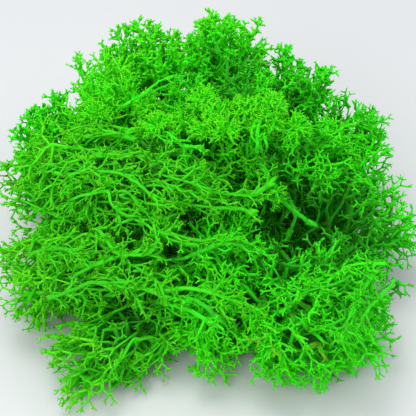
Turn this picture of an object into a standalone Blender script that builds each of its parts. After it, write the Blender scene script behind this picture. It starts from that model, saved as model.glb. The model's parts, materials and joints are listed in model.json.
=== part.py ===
"""A moss clump: a loose heap of springy lichen tufts, cut flat where it rests.

Each tuft is one cushion of finely forked stalks, modelled here as the closed
lumpy solid that its frond tips fill. Metres, +Z up, the heap resting on Z = 0
with the origin under the middle of its footprint.
"""
import math
from dataclasses import dataclass

import bmesh
import bpy
import numpy as np
from mathutils import Vector

MM = 0.001
COLLECTION_NAME = "moss_clump"

# Two tufts that press on each other stay this far apart
CONTACT_GAP = 0.3 * MM

# Each side of a starting cube is cut into this many strips
FINE_STRIPS = 10
COARSE_STRIPS = 9

# Frond heads: rounded lumps spread over a tuft on a golden spiral
HEAD_REACH = 1.12
HEAD_JITTER = 0.28
HEAD_LOWEST = 0.62
HEAD_ROUNDING = 0.7
GOLDEN_TURN = math.pi * (3.0 - math.sqrt(5.0))

# A tuft is fuller than an ellipsoid: the power in the sum over its three half lengths
FULLNESS = 2.5

CREASE_ANGLE = math.radians(50.0)

# Facets that lie as flat as this on each other are one facet
FLAT_ANGLE = math.radians(0.1)

FRESH_GREEN = (0.030, 0.640, 0.006)
YELLOW_GREEN = (0.075, 0.680, 0.010)
DEEP_GREEN = (0.018, 0.430, 0.008)
MOSS_ROUGHNESS = 0.85


@dataclass(frozen=True)
class Tuft:
    """One tuft: where it lies, how far its fronds reach and how it grew."""

    name: str
    centre: tuple        # mm, before the heap is set on its footprint centre
    reach: tuple         # mm: half length along growth, half width, half depth
    growth: tuple        # direction in which the stalks grew
    heads: int           # frond heads all round
    relief: float        # how deep the dips between heads are, as a share
    stretch: float       # below 1 the heads run out into ridges along the growth
    colour: tuple
    strips: int
    seed: int


TUFTS = (
    Tuft("tuft_left_upper", (-26, -3, 41), (52, 26, 22), (-1.0, 0.12, -0.08),
         36, 0.35, 0.75, YELLOW_GREEN, FINE_STRIPS, 11),
    Tuft("tuft_left_lower", (-26, -25, 21), (50, 28, 26), (-1.0, -0.04, -0.16),
         36, 0.35, 0.75, YELLOW_GREEN, FINE_STRIPS, 12),
    Tuft("tuft_front_left", (-21, -51, 10), (34, 21, 17), (-0.80, -0.55, -0.05),
         22, 0.35, 0.80, YELLOW_GREEN, COARSE_STRIPS, 13),
    Tuft("tuft_front_middle", (7, -35, 18), (38, 25, 24), (0.05, -0.90, -0.35),
         31, 0.35, 0.80, FRESH_GREEN, FINE_STRIPS, 14),
    Tuft("tuft_front_right", (38, -43, 16), (42, 33, 25), (0.62, -0.70, 0.25),
         38, 0.35, 0.85, FRESH_GREEN, FINE_STRIPS, 15),
    Tuft("tuft_middle", (13, 15, 38), (44, 34, 29), (0.05, 0.05, 1.0),
         42, 0.35, 0.90, FRESH_GREEN, FINE_STRIPS, 16),
    Tuft("tuft_middle_right", (40, 10, 30), (37, 25, 25), (0.30, -0.15, 0.95),
         30, 0.35, 0.90, FRESH_GREEN, FINE_STRIPS, 17),
    Tuft("tuft_right", (57, -3, 19), (32, 26, 26), (0.60, -0.25, 0.65),
         29, 0.35, 0.90, FRESH_GREEN, FINE_STRIPS, 18),
    Tuft("tuft_left_shoulder", (-29, 30, 38), (34, 27, 27), (-0.30, 0.15, 0.95),
         31, 0.35, 0.90, FRESH_GREEN, COARSE_STRIPS, 19),
    Tuft("tuft_back_left", (-46, 31, 19), (35, 26, 26), (-0.35, 0.20, 0.95),
         30, 0.35, 0.90, DEEP_GREEN, COARSE_STRIPS, 20),
    Tuft("tuft_back_top_left", (-14, 47, 30), (50, 29, 26), (-0.08, 0.15, 1.0),
         38, 0.33, 0.90, DEEP_GREEN, COARSE_STRIPS, 21),
    Tuft("tuft_back_top", (11, 48, 31), (52, 30, 26), (0.03, 0.15, 1.0),
         40, 0.33, 0.90, DEEP_GREEN, COARSE_STRIPS, 22),
    Tuft("tuft_back_right_upper", (35, 38, 27), (43, 26, 26), (0.20, 0.10, 1.0),
         34, 0.35, 0.90, DEEP_GREEN, COARSE_STRIPS, 23),
    Tuft("tuft_back_right", (51, 31, 20), (37, 24, 25), (0.50, 0.20, 0.85),
         29, 0.35, 0.90, DEEP_GREEN, COARSE_STRIPS, 24),
)


def clear_scene():
    """Empty the file, so that the heap is all it holds."""
    for item in list(bpy.data.objects):
        bpy.data.objects.remove(item, do_unlink=True)


def new_collection(name):
    """Make a collection for the heap and link it to the scene."""
    collection = bpy.data.collections.new(name)
    bpy.context.scene.collection.children.link(collection)
    return collection


def moss_material(name, colour):
    """Matte dyed lichen in one green."""
    material = bpy.data.materials.new(name)
    material.use_nodes = True
    shader = material.node_tree.nodes["Principled BSDF"]
    shader.inputs["Base Color"].default_value = (*colour, 1.0)
    shader.inputs["Roughness"].default_value = MOSS_ROUGHNESS
    shader.inputs["Metallic"].default_value = 0.0
    return material


def growth_axes(tuft):
    """Unit axes of a tuft as rows: along its growth, across it, and through it."""
    along = Vector(tuft.growth).normalized()
    level = Vector((0.0, 0.0, 1.0))
    if abs(along.dot(level)) > 0.9:
        level = Vector((0.0, 1.0, 0.0))
    across = level.cross(along).normalized()
    through = along.cross(across).normalized()
    return np.array((along, across, through), dtype=float)


def spread_matrix(tuft):
    """The tuft's ellipsoid as a matrix of squared reaches, in square metres."""
    axes = growth_axes(tuft)
    squared = np.diag((np.array(tuft.reach) * MM) ** 2)
    return axes.T @ squared @ axes


def contact_planes(index):
    """Planes that keep one tuft on its own side of every other.

    Each plane's normal is the direction that best parts the two ellipsoids, and
    it stands where both are the same share of their own reach away. Returns the
    normals and the distances from the tuft's centre.
    """
    own = TUFTS[index]
    own_centre = np.array(own.centre) * MM
    own_spread = spread_matrix(own)
    normals = []
    distances = []
    for other in TUFTS:
        if other is own:
            continue
        apart = np.array(other.centre) * MM - own_centre
        other_spread = spread_matrix(other)
        normal = np.linalg.solve(own_spread + other_spread, apart)
        normal /= np.linalg.norm(normal)
        own_reach = math.sqrt(normal @ own_spread @ normal)
        other_reach = math.sqrt(normal @ other_spread @ normal)
        share = own_reach / (own_reach + other_reach)
        normals.append(normal)
        distances.append(normal @ apart * share - CONTACT_GAP / 2.0)
    return np.array(normals), np.array(distances)


def head_directions(tuft):
    """Frond heads on a golden spiral around the tuft, each pushed a little aside."""
    rng = np.random.default_rng(tuft.seed)
    steps = np.arange(tuft.heads) + 0.5
    height = 1.0 - 2.0 * steps / tuft.heads
    ring = np.sqrt(1.0 - height ** 2)
    turn = GOLDEN_TURN * steps + rng.uniform(0.0, 2.0 * math.pi)
    heads = np.column_stack((height, ring * np.cos(turn), ring * np.sin(turn)))
    spacing = math.sqrt(4.0 / tuft.heads)
    heads += rng.normal(0.0, HEAD_JITTER * spacing, heads.shape)
    heads /= np.linalg.norm(heads, axis=1, keepdims=True)
    tallness = rng.uniform(HEAD_LOWEST, 1.0, tuft.heads)
    return heads, tallness, spacing * HEAD_REACH


def frond_radius(tuft, directions):
    """How far the tuft's fronds reach in each direction, before it meets others.

    The reach is that of a slightly squared ellipsoid, lowered between the frond
    heads, which are rounded humps on it.
    """
    local = directions @ growth_axes(tuft).T
    scaled = local / (np.array(tuft.reach) * MM)
    length = (np.abs(scaled) ** FULLNESS).sum(axis=1) ** (1.0 / FULLNESS)
    ball = scaled / np.linalg.norm(scaled, axis=1, keepdims=True)
    heads, tallness, head_width = head_directions(tuft)
    offset = ball[:, None, :] - heads[None, :, :]
    offset[:, :, 0] *= tuft.stretch
    distance = np.linalg.norm(offset, axis=2)
    hump = np.clip(1.0 - (distance / head_width) ** 2, 0.0, 1.0) ** HEAD_ROUNDING
    height = (hump * tallness[None, :]).max(axis=1)
    return (1.0 - tuft.relief + tuft.relief * height) / length


def tuft_radius(index, directions):
    """The frond reach, stopped at the neighbouring tufts and at the ground."""
    tuft = TUFTS[index]
    radius = frond_radius(tuft, directions)
    normals, distances = contact_planes(index)
    normals = np.vstack((normals, (0.0, 0.0, -1.0)))
    distances = np.append(distances, tuft.centre[2] * MM)
    facing = directions @ normals.T
    limit = np.where(facing > 1e-6, distances / np.maximum(facing, 1e-6), np.inf)
    return np.minimum(radius, limit.min(axis=1))


def cube_ball(strips):
    """A cube whose sides are cut into strips, its points moved onto a unit ball."""
    ball = bmesh.new()
    bmesh.ops.create_cube(ball, size=2.0)
    bmesh.ops.subdivide_edges(ball, edges=ball.edges[:], cuts=strips - 1,
                              use_grid_fill=True)
    for point in ball.verts:
        even = [math.tan(value * math.pi / 4.0) for value in point.co]
        point.co = Vector(even).normalized()
    bmesh.ops.triangulate(ball, faces=ball.faces[:])
    return ball


def build_tuft(index, collection):
    """Make one tuft's closed solid, in its place in the heap."""
    tuft = TUFTS[index]
    ball = cube_ball(tuft.strips)
    directions = np.array([point.co[:] for point in ball.verts])
    radius = tuft_radius(index, directions)
    centre = Vector(tuft.centre) * MM
    for point, reach in zip(ball.verts, radius):
        point.co = centre + point.co * float(reach)
    for point in ball.verts:
        point.co.z = max(point.co.z, 0.0)
    bmesh.ops.recalc_face_normals(ball, faces=ball.faces[:])
    bmesh.ops.dissolve_limit(ball, angle_limit=FLAT_ANGLE, verts=ball.verts[:],
                             edges=ball.edges[:])
    bmesh.ops.triangulate(ball, faces=ball.faces[:])
    mesh = bpy.data.meshes.new(tuft.name)
    ball.to_mesh(mesh)
    ball.free()
    mesh.shade_smooth()
    mesh.set_sharp_from_angle(angle=CREASE_ANGLE)
    mesh.materials.append(moss_material(tuft.name + "_moss", tuft.colour))
    item = bpy.data.objects.new(tuft.name, mesh)
    collection.objects.link(item)
    return item


def set_on_footprint_centre(items):
    """Slide the heap so that the origin is under the middle of its footprint."""
    corners = np.array([point.co[:2] for item in items for point in item.data.vertices])
    middle = (corners.min(axis=0) + corners.max(axis=0)) / 2.0
    for item in items:
        item.location = (-middle[0], -middle[1], 0.0)


def main():
    clear_scene()
    collection = new_collection(COLLECTION_NAME)
    items = [build_tuft(index, collection) for index in range(len(TUFTS))]
    set_on_footprint_centre(items)


main()
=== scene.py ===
"""A moss clump dressed as what it is: a heap of lichen tufts of finely forked stalks.

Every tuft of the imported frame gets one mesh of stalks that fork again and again
until their pointed tips fill the tuft's solid. Lengths in this file are
millimetres, and they become metres where a mesh is made.
"""
import json
import logging
import math
from dataclasses import dataclass, field, replace
from enum import Enum
from typing import Dict, List, Sequence, Tuple

import bpy
import numpy as np
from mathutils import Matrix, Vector

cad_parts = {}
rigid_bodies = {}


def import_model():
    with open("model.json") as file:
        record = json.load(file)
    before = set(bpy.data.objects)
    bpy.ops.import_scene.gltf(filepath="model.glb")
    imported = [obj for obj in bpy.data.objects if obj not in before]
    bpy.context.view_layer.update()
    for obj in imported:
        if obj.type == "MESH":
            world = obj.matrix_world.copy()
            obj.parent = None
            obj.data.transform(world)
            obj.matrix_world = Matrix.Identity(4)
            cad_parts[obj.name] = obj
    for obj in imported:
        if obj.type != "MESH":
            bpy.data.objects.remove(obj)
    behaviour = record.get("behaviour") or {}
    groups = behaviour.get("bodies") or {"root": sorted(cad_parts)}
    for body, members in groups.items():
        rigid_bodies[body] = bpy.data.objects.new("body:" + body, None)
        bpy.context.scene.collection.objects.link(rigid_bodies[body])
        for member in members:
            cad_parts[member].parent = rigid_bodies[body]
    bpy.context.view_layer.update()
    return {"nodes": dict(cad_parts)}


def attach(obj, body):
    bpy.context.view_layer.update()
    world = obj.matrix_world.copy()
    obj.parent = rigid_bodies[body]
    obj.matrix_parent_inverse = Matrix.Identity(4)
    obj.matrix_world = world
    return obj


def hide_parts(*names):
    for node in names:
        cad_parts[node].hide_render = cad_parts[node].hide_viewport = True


LOG = logging.getLogger("moss_clump")

METRE = 0.001
IMAGE_PIXELS = 416
UV_NAME = "OFBake"
BODY = "root"
GROUND_CLEARANCE = 0.7
GOLDEN_TURN = math.pi * (3.0 - math.sqrt(5.0))

Array = np.ndarray
Lot = np.random.Generator
Socket = bpy.types.NodeSocket
Colour = Tuple[float, float, float]
Point = Tuple[float, float, float]


def unit(vectors: Array) -> Array:
    """Scale vectors to length one: each is divided by its own length.

    Args:
        vectors: Array whose last axis holds x, y and z.

    Returns:
        The unit vectors, with zeros left as zeros.
    """
    length = np.linalg.norm(vectors, axis=-1, keepdims=True)
    return vectors / np.maximum(length, 1e-9)


def square_to(vectors: Array, axis: Array) -> Array:
    """Unit vectors square to an axis: the part along the axis is taken away.

    Args:
        vectors: Vectors to turn, last axis x, y and z.
        axis: Unit vectors of the same shape.

    Returns:
        Unit vectors at a right angle to the axis.
    """
    flat = vectors - axis * (vectors * axis).sum(-1, keepdims=True)
    spare = np.cross(axis, np.array((0.31, 0.87, 0.38)))
    weak = np.linalg.norm(flat, axis=-1, keepdims=True) < 1e-4
    return unit(np.where(weak, spare, flat))


def golden_spiral(count: int, lowest: float = -1.0) -> Array:
    """Directions spread evenly over a ball, or over its part above a height.

    Each is lower than the one before by the same step, and turned by the golden turn.

    Args:
        count: How many directions.
        lowest: The height at which they end.

    Returns:
        Unit vectors, one a row.
    """
    step = np.arange(count) + 0.5
    height = 1.0 - (1.0 - lowest) * step / count
    ring = np.sqrt(1.0 - height ** 2)
    turn = GOLDEN_TURN * step
    return np.column_stack((ring * np.cos(turn), ring * np.sin(turn), height))


def squared_share(points: Array, middle: Point, reach: Point, swelling: float = 1.0) -> Array:
    """How far points are from the middle of an egg shape: the sum of the squared shares.

    Args:
        points: Points in mm, one a row.
        middle: The shape's middle.
        reach: Its half widths.
        swelling: How much larger it is taken, as a factor.

    Returns:
        The sums, under one inside the shape.
    """
    share = (points - np.array(middle)) / (np.array(reach) * swelling)
    return (share ** 2).sum(1)


def clear_of(places: Array, marks: Array, clearance: float) -> Array:
    """Which places are farther than the clearance from every mark."""
    apart = np.linalg.norm(places[:, None] - marks[None], axis=2)
    return apart.min(1) > clearance


def bow(start: Array, leave: Array, end: Array, arrive: Array, part: Array) -> Array:
    """Points on the cubic from start to end that has the given slopes there.

    The weights are 2 p3 - 3 p2 + 1 for the start, 3 p2 - 2 p3 for the end,
    p3 - 2 p2 + p for the slope at the start and p3 - p2 for the one at the end,
    where p2 and p3 are the square and the cube of the part p.

    Args:
        start: Where the stretches start.
        leave: Their slopes there.
        end: Where they end.
        arrive: Their slopes there.
        part: Parts of the way, from 0 to 1.

    Returns:
        The points, as the arrays broadcast.
    """
    square, cube = part ** 2, part ** 3
    return (start * (2 * cube - 3 * square + 1) + leave * (cube - 2 * square + part)
            + end * (3 * square - 2 * cube) + arrive * (cube - square))


def between_knots(values: Array, stop: Array) -> Array:
    """Values between knots: each knot's share falls to nothing at the next one.

    Args:
        values: Values at the knots, row by knot, with or without xyz.
        stop: Where they are wanted, in knots from the first.

    Returns:
        The values there, row by stop.
    """
    low = np.minimum(stop.astype(int), values.shape[1] - 2)
    share = (stop - low).reshape((1, -1) + (1,) * (values.ndim - 2))
    return values[:, low] * (1.0 - share) + values[:, low + 1] * share


class Habit(Enum):
    """How the stalks of a tuft leave its foot."""

    UPRIGHT = "a cushion that stands on a narrow foot"
    CLOSE = "a cushion of short sprigs that stand close together"
    LYING = "stalks combed out over the heap from a torn end"
    LEANING = "a cushion that leans out of the heap"


class Slot(Enum):
    """The record's material slots."""

    YELLOW = "moss_yellow_green"
    FRESH = "moss_fresh_green"
    DEEP = "moss_deep_green"


class StrandEnd(Enum):
    """What a stout stalk comes to."""

    TORN = "splinters, where it was pulled off"
    FORKED = "a sprig"
    BARE = "a bare point"
    BURIED = "it goes under other stalks"


@dataclass(frozen=True)
class Strand:
    """A stout stalk that lies open on a tuft.

    Attributes:
        course: Places that it passes, in mm.
        radii: Half its width at each of them, in mm.
        end: What it comes to at its last place.
        shade: How bright its colour is drawn, on the scale from the painted shade deep in the heap to
            the bright tips; kept low on these stalks that lie open to the lamps, which is painted
            shade.
        tone: Its tone.
        branches: How many of its rings bear a branch, as a share.
        sunk: Whether its first place lies under other stalks.
        companions: How many thin stalks weave beside it.
    """

    course: Tuple[Point, ...]
    radii: Tuple[float, ...]
    end: StrandEnd = StrandEnd.FORKED
    shade: float = 0.80
    tone: float = 0.62
    branches: float = 0.42
    sunk: bool = True
    companions: int = 1

    STEPS = 4

    def curve(self) -> Tuple[Array, Array, Array]:
        """A smooth curve through the course.

        Between two places it is the cubic whose slope at each place is half the
        way from the place before to the place after.

        Returns:
            Ring places, unit headings and half widths.
        """
        places = np.array(self.course)
        before = np.concatenate((2.0 * places[:1] - places[1:2], places[:-2]))[:, None]
        after = np.concatenate((places[2:], 2.0 * places[-1:] - places[-2:-1]))[:, None]
        start, end = places[:-1, None], places[1:, None]
        part = (np.arange(self.STEPS) / self.STEPS)[None, :, None]
        slope_in, slope_out = (end - before) / 2.0, (after - start) / 2.0
        line = bow(start, slope_in, end, slope_out, part)
        line = np.concatenate((line.reshape(-1, 3), places[-1:]))
        heading = unit(np.gradient(line, axis=0))
        stop = np.arange(len(line)) / self.STEPS
        return line, heading, np.interp(stop, np.arange(len(places)), self.radii)


@dataclass(frozen=True)
class Lump:
    """Room beside a tuft's solid that its sprigs fill too: middle and half widths, in mm."""

    middle: Point
    reach: Point

    def holds(self, points: Array) -> Array:
        """Which points are inside: the sum of the squared shares is under one."""
        return squared_share(points, self.middle, self.reach) < 1.0


@dataclass(frozen=True)
class Head:
    """A round head of close sprigs that stands out of a tuft.

    Attributes:
        middle: Its middle, in mm.
        stems: How many short stems fan out from there.
        shade: How bright their colour is drawn, on the scale from the painted shade deep in the heap
            to the bright tips.
        tone: Their tone.
    """

    middle: Point
    stems: int = 28
    shade: float = 0.56
    tone: float = 0.78

    LOWEST = -0.35

    def ways(self) -> Array:
        """Unit vectors of the stems, from straight up to below the level."""
        return golden_spiral(self.stems, self.LOWEST)


@dataclass(frozen=True)
class TuftPlan:
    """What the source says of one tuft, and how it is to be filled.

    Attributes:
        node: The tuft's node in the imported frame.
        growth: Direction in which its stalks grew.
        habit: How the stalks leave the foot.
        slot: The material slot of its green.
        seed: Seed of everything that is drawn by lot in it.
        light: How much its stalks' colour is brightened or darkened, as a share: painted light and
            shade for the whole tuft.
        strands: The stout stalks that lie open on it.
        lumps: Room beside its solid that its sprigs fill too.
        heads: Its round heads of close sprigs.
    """

    node: str
    growth: Point
    habit: Habit
    slot: Slot
    seed: int
    light: float = 1.0
    strands: Tuple[Strand, ...] = ()
    lumps: Tuple[Lump, ...] = ()
    heads: Tuple[Head, ...] = ()


UPPER_STRANDS: Tuple[Strand, ...] = (
    Strand(((-20.0, -15.2, 57.9), (-16.4, -18.2, 59.6), (-12.3, -20.2, 59.8), (-7.5, -20.7, 58.6),
        (-3.4, -20.2, 56.4), (0.7, -19.5, 53.7), (5.0, -18.3, 51.0), (10.1, -16.5, 48.6),
        (14.6, -14.5, 46.8), (18.2, -12.8, 47.2), (21.0, -11.5, 48.8)),
        (0.4, 0.45, 0.5, 0.55, 0.65, 0.8, 0.9, 1.0, 1.15, 1.3, 1.2),
        StrandEnd.TORN, 0.40, 0.80),
    Strand(((-21.5, -11.1, 61.0), (-16.5, -14.2, 62.1), (-11.0, -16.5, 61.3), (-6.2, -17.8, 58.8),
        (-2.1, -18.5, 56.0), (2.5, -18.6, 52.3)), (0.4, 0.45, 0.45, 0.5, 0.5, 0.5),
        StrandEnd.BURIED, 0.38, 0.74),
    Strand(((-23.2, -21.7, 58.2), (-17.7, -22.0, 57.9), (-12.3, -21.9, 56.9), (-6.2, -21.7, 54.9),
        (-0.7, -20.5, 52.9), (4.9, -19.2, 50.4)), (0.4, 0.45, 0.5, 0.5, 0.55, 0.5),
        StrandEnd.BURIED, 0.38, 0.74),
    Strand(((-32.6, -24.1, 57.9), (-27.9, -23.4, 56.4), (-24.6, -24.2, 53.5), (-22.0, -25.9, 50.0),
        (-19.3, -26.2, 48.3), (-15.9, -23.8, 49.9), (-11.0, -22.7, 50.3), (-5.5, -22.8, 49.5),
        (0.7, -23.2, 48.9), (6.2, -23.1, 48.7), (11.0, -23.1, 48.2), (14.1, -23.2, 46.8)),
        (0.5, 0.6, 0.75, 0.75, 0.8, 0.6, 0.6, 0.6, 0.65, 0.75, 0.9, 1.05),
        StrandEnd.TORN, 0.39, 0.74),
    Strand(((-51.9, -18.1, 46.2), (-45.8, -19.9, 50.6), (-39.9, -21.4, 53.7), (-34.2, -22.3, 55.5),
        (-32.8, -25.6, 52.9), (-28.8, -27.2, 49.7), (-24.1, -26.1, 47.4), (-19.5, -25.1, 47.5)),
        (0.5, 0.6, 0.7, 0.75, 0.65, 0.7, 0.75, 0.75), StrandEnd.BURIED, 0.36, 0.66),
    Strand(((-51.3, -15.7, 56.1), (-45.7, -15.0, 57.4), (-40.1, -15.1, 58.3), (-34.4, -15.9, 59.0),
        (-28.8, -17.9, 58.8), (-23.2, -21.4, 57.4), (-19.0, -24.4, 55.2)),
        (0.45, 0.55, 0.6, 0.65, 0.7, 0.7, 0.6), StrandEnd.FORKED, 0.39, 0.70),
)
LOWER_STRANDS: Tuple[Strand, ...] = (
    Strand(((-42.9, -27.1, 44.0), (-37.8, -29.7, 44.1), (-34.2, -33.9, 42.4), (-30.7, -37.4, 40.6),
        (-25.2, -38.4, 40.6), (-19.7, -37.8, 41.5), (-17.7, -35.9, 43.4), (-17.7, -33.2, 45.5),
        (-20.2, -30.7, 46.9), (-24.0, -28.3, 47.5), (-29.6, -25.8, 48.0)),
        (0.5, 0.6, 0.8, 0.95, 0.85, 0.85, 0.75, 0.7, 0.7, 0.7, 0.5),
        StrandEnd.BURIED, 0.38, 0.70, 0.42),
    Strand(((-46.8, -43.7, 36.4), (-42.3, -41.2, 36.2), (-37.6, -38.8, 37.2), (-33.5, -37.7, 38.5),
        (-30.0, -37.5, 40.2)), (0.55, 0.7, 0.85, 1.0, 1.05), StrandEnd.BURIED, 0.39, 0.66),
    Strand(((-20.1, -31.2, 47.4), (-15.7, -33.0, 46.3), (-10.9, -33.7, 45.6), (-6.1, -34.3, 44.2),
        (-0.7, -33.9, 42.9), (4.1, -33.1, 41.6)), (0.8, 0.75, 0.7, 0.7, 0.7, 0.6),
        StrandEnd.FORKED, 0.39, 0.60),
    Strand(((-64.4, -34.0, 35.8), (-59.5, -33.4, 37.2), (-54.5, -33.5, 38.7), (-50.1, -34.7, 40.3),
        (-45.0, -37.1, 41.3)), (0.95, 0.95, 0.9, 0.75, 0.6), StrandEnd.FORKED, 0.36, 0.60),
    Strand(((-57.2, -48.3, 29.3), (-50.9, -48.1, 31.2), (-45.3, -47.5, 33.4), (-40.5, -46.7, 35.5),
        (-35.1, -46.9, 36.2), (-29.6, -47.8, 35.7), (-24.9, -48.1, 35.6)),
        (0.6, 0.75, 0.8, 0.8, 0.75, 0.7, 0.7), StrandEnd.BURIED, 0.36, 0.60),
    Strand(((-35.3, -42.7, 37.2), (-29.8, -44.9, 35.6), (-25.0, -46.9, 34.3), (-19.6, -47.9, 33.9),
        (-13.5, -48.5, 34.0), (-8.1, -48.4, 34.8), (-2.7, -49.2, 34.8), (2.0, -50.4, 34.5),
        (6.7, -52.1, 33.9), (10.7, -53.5, 33.5), (14.7, -55.2, 32.8)),
        (0.5, 0.65, 0.75, 0.85, 0.85, 0.9, 0.95, 0.85, 0.8, 0.8, 0.6),
        StrandEnd.FORKED, 0.42, 0.74),
    Strand(((-29.4, -38.4, 37.7), (-24.5, -41.4, 37.9), (-20.3, -44.4, 37.0), (-16.2, -46.6, 35.4),
        (-12.2, -47.5, 33.9)), (0.5, 0.6, 0.7, 0.7, 0.7), StrandEnd.BURIED, 0.39, 0.74),
)
FRONT_STRANDS: Tuple[Strand, ...] = (
    Strand(((-10.3, -37.7, 39.0), (-4.1, -37.0, 40.2), (1.4, -35.5, 41.6), (6.2, -34.1, 42.1),
        (10.3, -33.6, 40.7), (13.5, -33.0, 38.7), (16.3, -31.8, 36.5)),
        (0.7, 0.8, 0.9, 1.05, 1.15, 1.1, 1.1), StrandEnd.TORN, 0.26, 0.84),
    Strand(((4.8, -34.3, 41.8), (8.0, -30.4, 41.0), (11.2, -28.4, 39.6), (13.3, -29.3, 38.7),
        (13.8, -33.0, 38.7)), (0.75, 0.75, 0.65, 0.6, 0.6), StrandEnd.BURIED, 0.30, 0.74, 0.15),
    Strand(((-19.8, -47.7, 28.7), (-14.2, -50.0, 29.7), (-8.8, -52.9, 30.3), (-4.0, -56.1, 30.9),
        (0.0, -59.9, 31.1)), (0.55, 0.7, 0.8, 0.9, 0.8), StrandEnd.FORKED, 0.26, 0.74),
    Strand(((-20.0, -43.5, 28.3), (-12.9, -48.5, 31.1), (-6.0, -51.7, 33.5), (-1.3, -54.6, 33.2),
        (2.0, -57.1, 31.0)), (0.6, 0.7, 0.8, 0.95, 0.9), StrandEnd.TORN, 0.22, 0.84),
)
RIGHT_STRANDS: Tuple[Strand, ...] = (
    Strand(((65.0, -35.7, 35.1), (59.8, -37.9, 35.8), (54.0, -39.3, 37.2), (48.2, -41.3, 38.2),
        (43.9, -44.6, 38.2), (40.2, -48.5, 37.9)), (0.8, 0.9, 0.9, 0.8, 0.7, 0.6),
        StrandEnd.FORKED, 0.24, 0.80),
    Strand(((59.6, -41.5, 39.4), (55.4, -47.2, 40.8), (52.1, -53.1, 41.2), (49.5, -59.0, 40.8),
        (46.5, -63.8, 40.3), (44.2, -68.7, 39.1)), (0.95, 0.9, 0.85, 0.75, 0.65, 0.5),
        StrandEnd.FORKED, 0.18, 0.70),
    Strand(((63.1, -47.5, 43.1), (60.6, -52.8, 41.9), (56.8, -57.4, 41.0), (53.1, -61.6, 40.8),
        (49.5, -66.3, 40.1)), (0.7, 0.8, 0.75, 0.65, 0.5), StrandEnd.FORKED, 0.18, 0.70),
    Strand(((52.4, -40.9, 38.3), (48.3, -46.6, 39.3), (43.3, -50.2, 39.2), (38.4, -52.3, 39.5),
        (33.0, -54.0, 39.3)), (0.8, 0.8, 0.7, 0.6, 0.5), StrandEnd.FORKED, 0.20, 0.70),
)
MIDDLE_STRANDS: Tuple[Strand, ...] = (
    Strand(((16.8, -8.0, 59.0), (17.4, -6.0, 62.9), (17.1, -3.4, 65.7), (18.1, 0.0, 67.8),
        (19.6, 3.9, 69.6)), (0.8, 0.8, 0.75, 0.7, 0.6), StrandEnd.FORKED, 0.28, 0.64, 0.30),
    Strand(((21.0, -7.2, 60.0), (20.2, -5.2, 63.8), (18.8, -3.6, 66.4)), (0.6, 0.6, 0.6),
        StrandEnd.BURIED, 0.26, 0.60, 0.30),
    Strand(((17.6, -6.9, 57.0), (20.2, -7.5, 52.4), (23.5, -9.3, 47.9), (27.1, -12.0, 43.6)),
        (0.7, 0.95, 1.0, 1.0), StrandEnd.BURIED, 0.16, 0.40, 0.30, True, 0),
    Strand(((24.4, -8.0, 43.9), (28.3, -12.0, 40.7), (31.9, -14.0, 38.2), (34.1, -15.0, 36.7),
        (36.0, -15.0, 34.7)), (0.85, 1.0, 1.05, 1.05, 1.1), StrandEnd.TORN, 0.22, 0.70, 0.10, True, 0),
    Strand(((30.9, -13.5, 38.7), (31.6, -15.0, 36.2), (30.0, -16.0, 31.2)), (0.95, 1.0, 1.0),
        StrandEnd.TORN, 0.17, 0.60, 0.0, False, 0),
)
SHOULDER_STRANDS: Tuple[Strand, ...] = (
    Strand(((-35.2, 16.4, 59.2), (-30.5, 19.0, 61.8), (-24.9, 20.6, 64.2), (-20.7, 21.3, 67.2),
        (-16.4, 22.0, 70.3), (-12.7, 22.0, 71.9), (-8.3, 21.5, 72.2)),
        (0.55, 0.65, 0.85, 1.0, 0.85, 0.65, 0.25), StrandEnd.BARE, 0.32, 0.84, 0.03, True, 0),
    Strand(((-22.9, 22.1, 64.7), (-17.6, 22.5, 66.4), (-13.1, 22.0, 68.8), (-8.5, 21.5, 72.0)),
        (0.6, 0.65, 0.6, 0.3), StrandEnd.BARE, 0.30, 0.80, 0.03, True, 0),
    Strand(((-17.2, 6.6, 60.7), (-14.1, 0.3, 62.9), (-10.5, -4.5, 63.1), (-8.4, -6.9, 61.4),
        (-6.3, -7.9, 57.8)), (0.45, 0.55, 0.6, 0.6, 0.5), StrandEnd.BURIED, 0.28, 0.64),
)
MIDDLE_HEADS: Tuple[Head, ...] = (
    Head((21.9, 7.6, 69.0), 34), Head((14.1, 7.0, 67.4), 31), Head((20.4, 3.8, 66.0), 29),
    Head((-1.1, 12.6, 67.4), 27), Head((3.4, 6.0, 66.4), 27), Head((0.0, 2.4, 63.2), 27),
    Head((6.3, 0.0, 64.4), 25), Head((-8.7, 8.6, 59.6), 25),
)
SHOULDER_HEADS: Tuple[Head, ...] = (
    Head((-21.7, 22.4, 57.4), 28), Head((-18.1, 8.2, 60.0), 27), Head((-41.0, 18.0, 57.0), 27),
)
RIGHT_HEADS: Tuple[Head, ...] = (
    Head((30.2, 4.0, 62.0), 27),
    # The four heads low in the hollow are drawn almost black, with shade 0.05: painted shade that
    # hides the floor there.
    Head((36.5, 7.5, 8.5), 26, 0.05, 0.4), Head((44.0, 11.5, 7.5), 26, 0.05, 0.4),
    Head((37.0, 20.0, 7.5), 26, 0.05, 0.4), Head((41.0, 4.5, 6.5), 26, 0.05, 0.4),
)
NOTCH: Lump = Lump((-3.0, 47.0, 66.0), (8.0, 9.0, 9.0))


# The number after the seed, where given, is each tuft's painted light and shade: its stalks' colour
# drawn brighter or darker.
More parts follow.
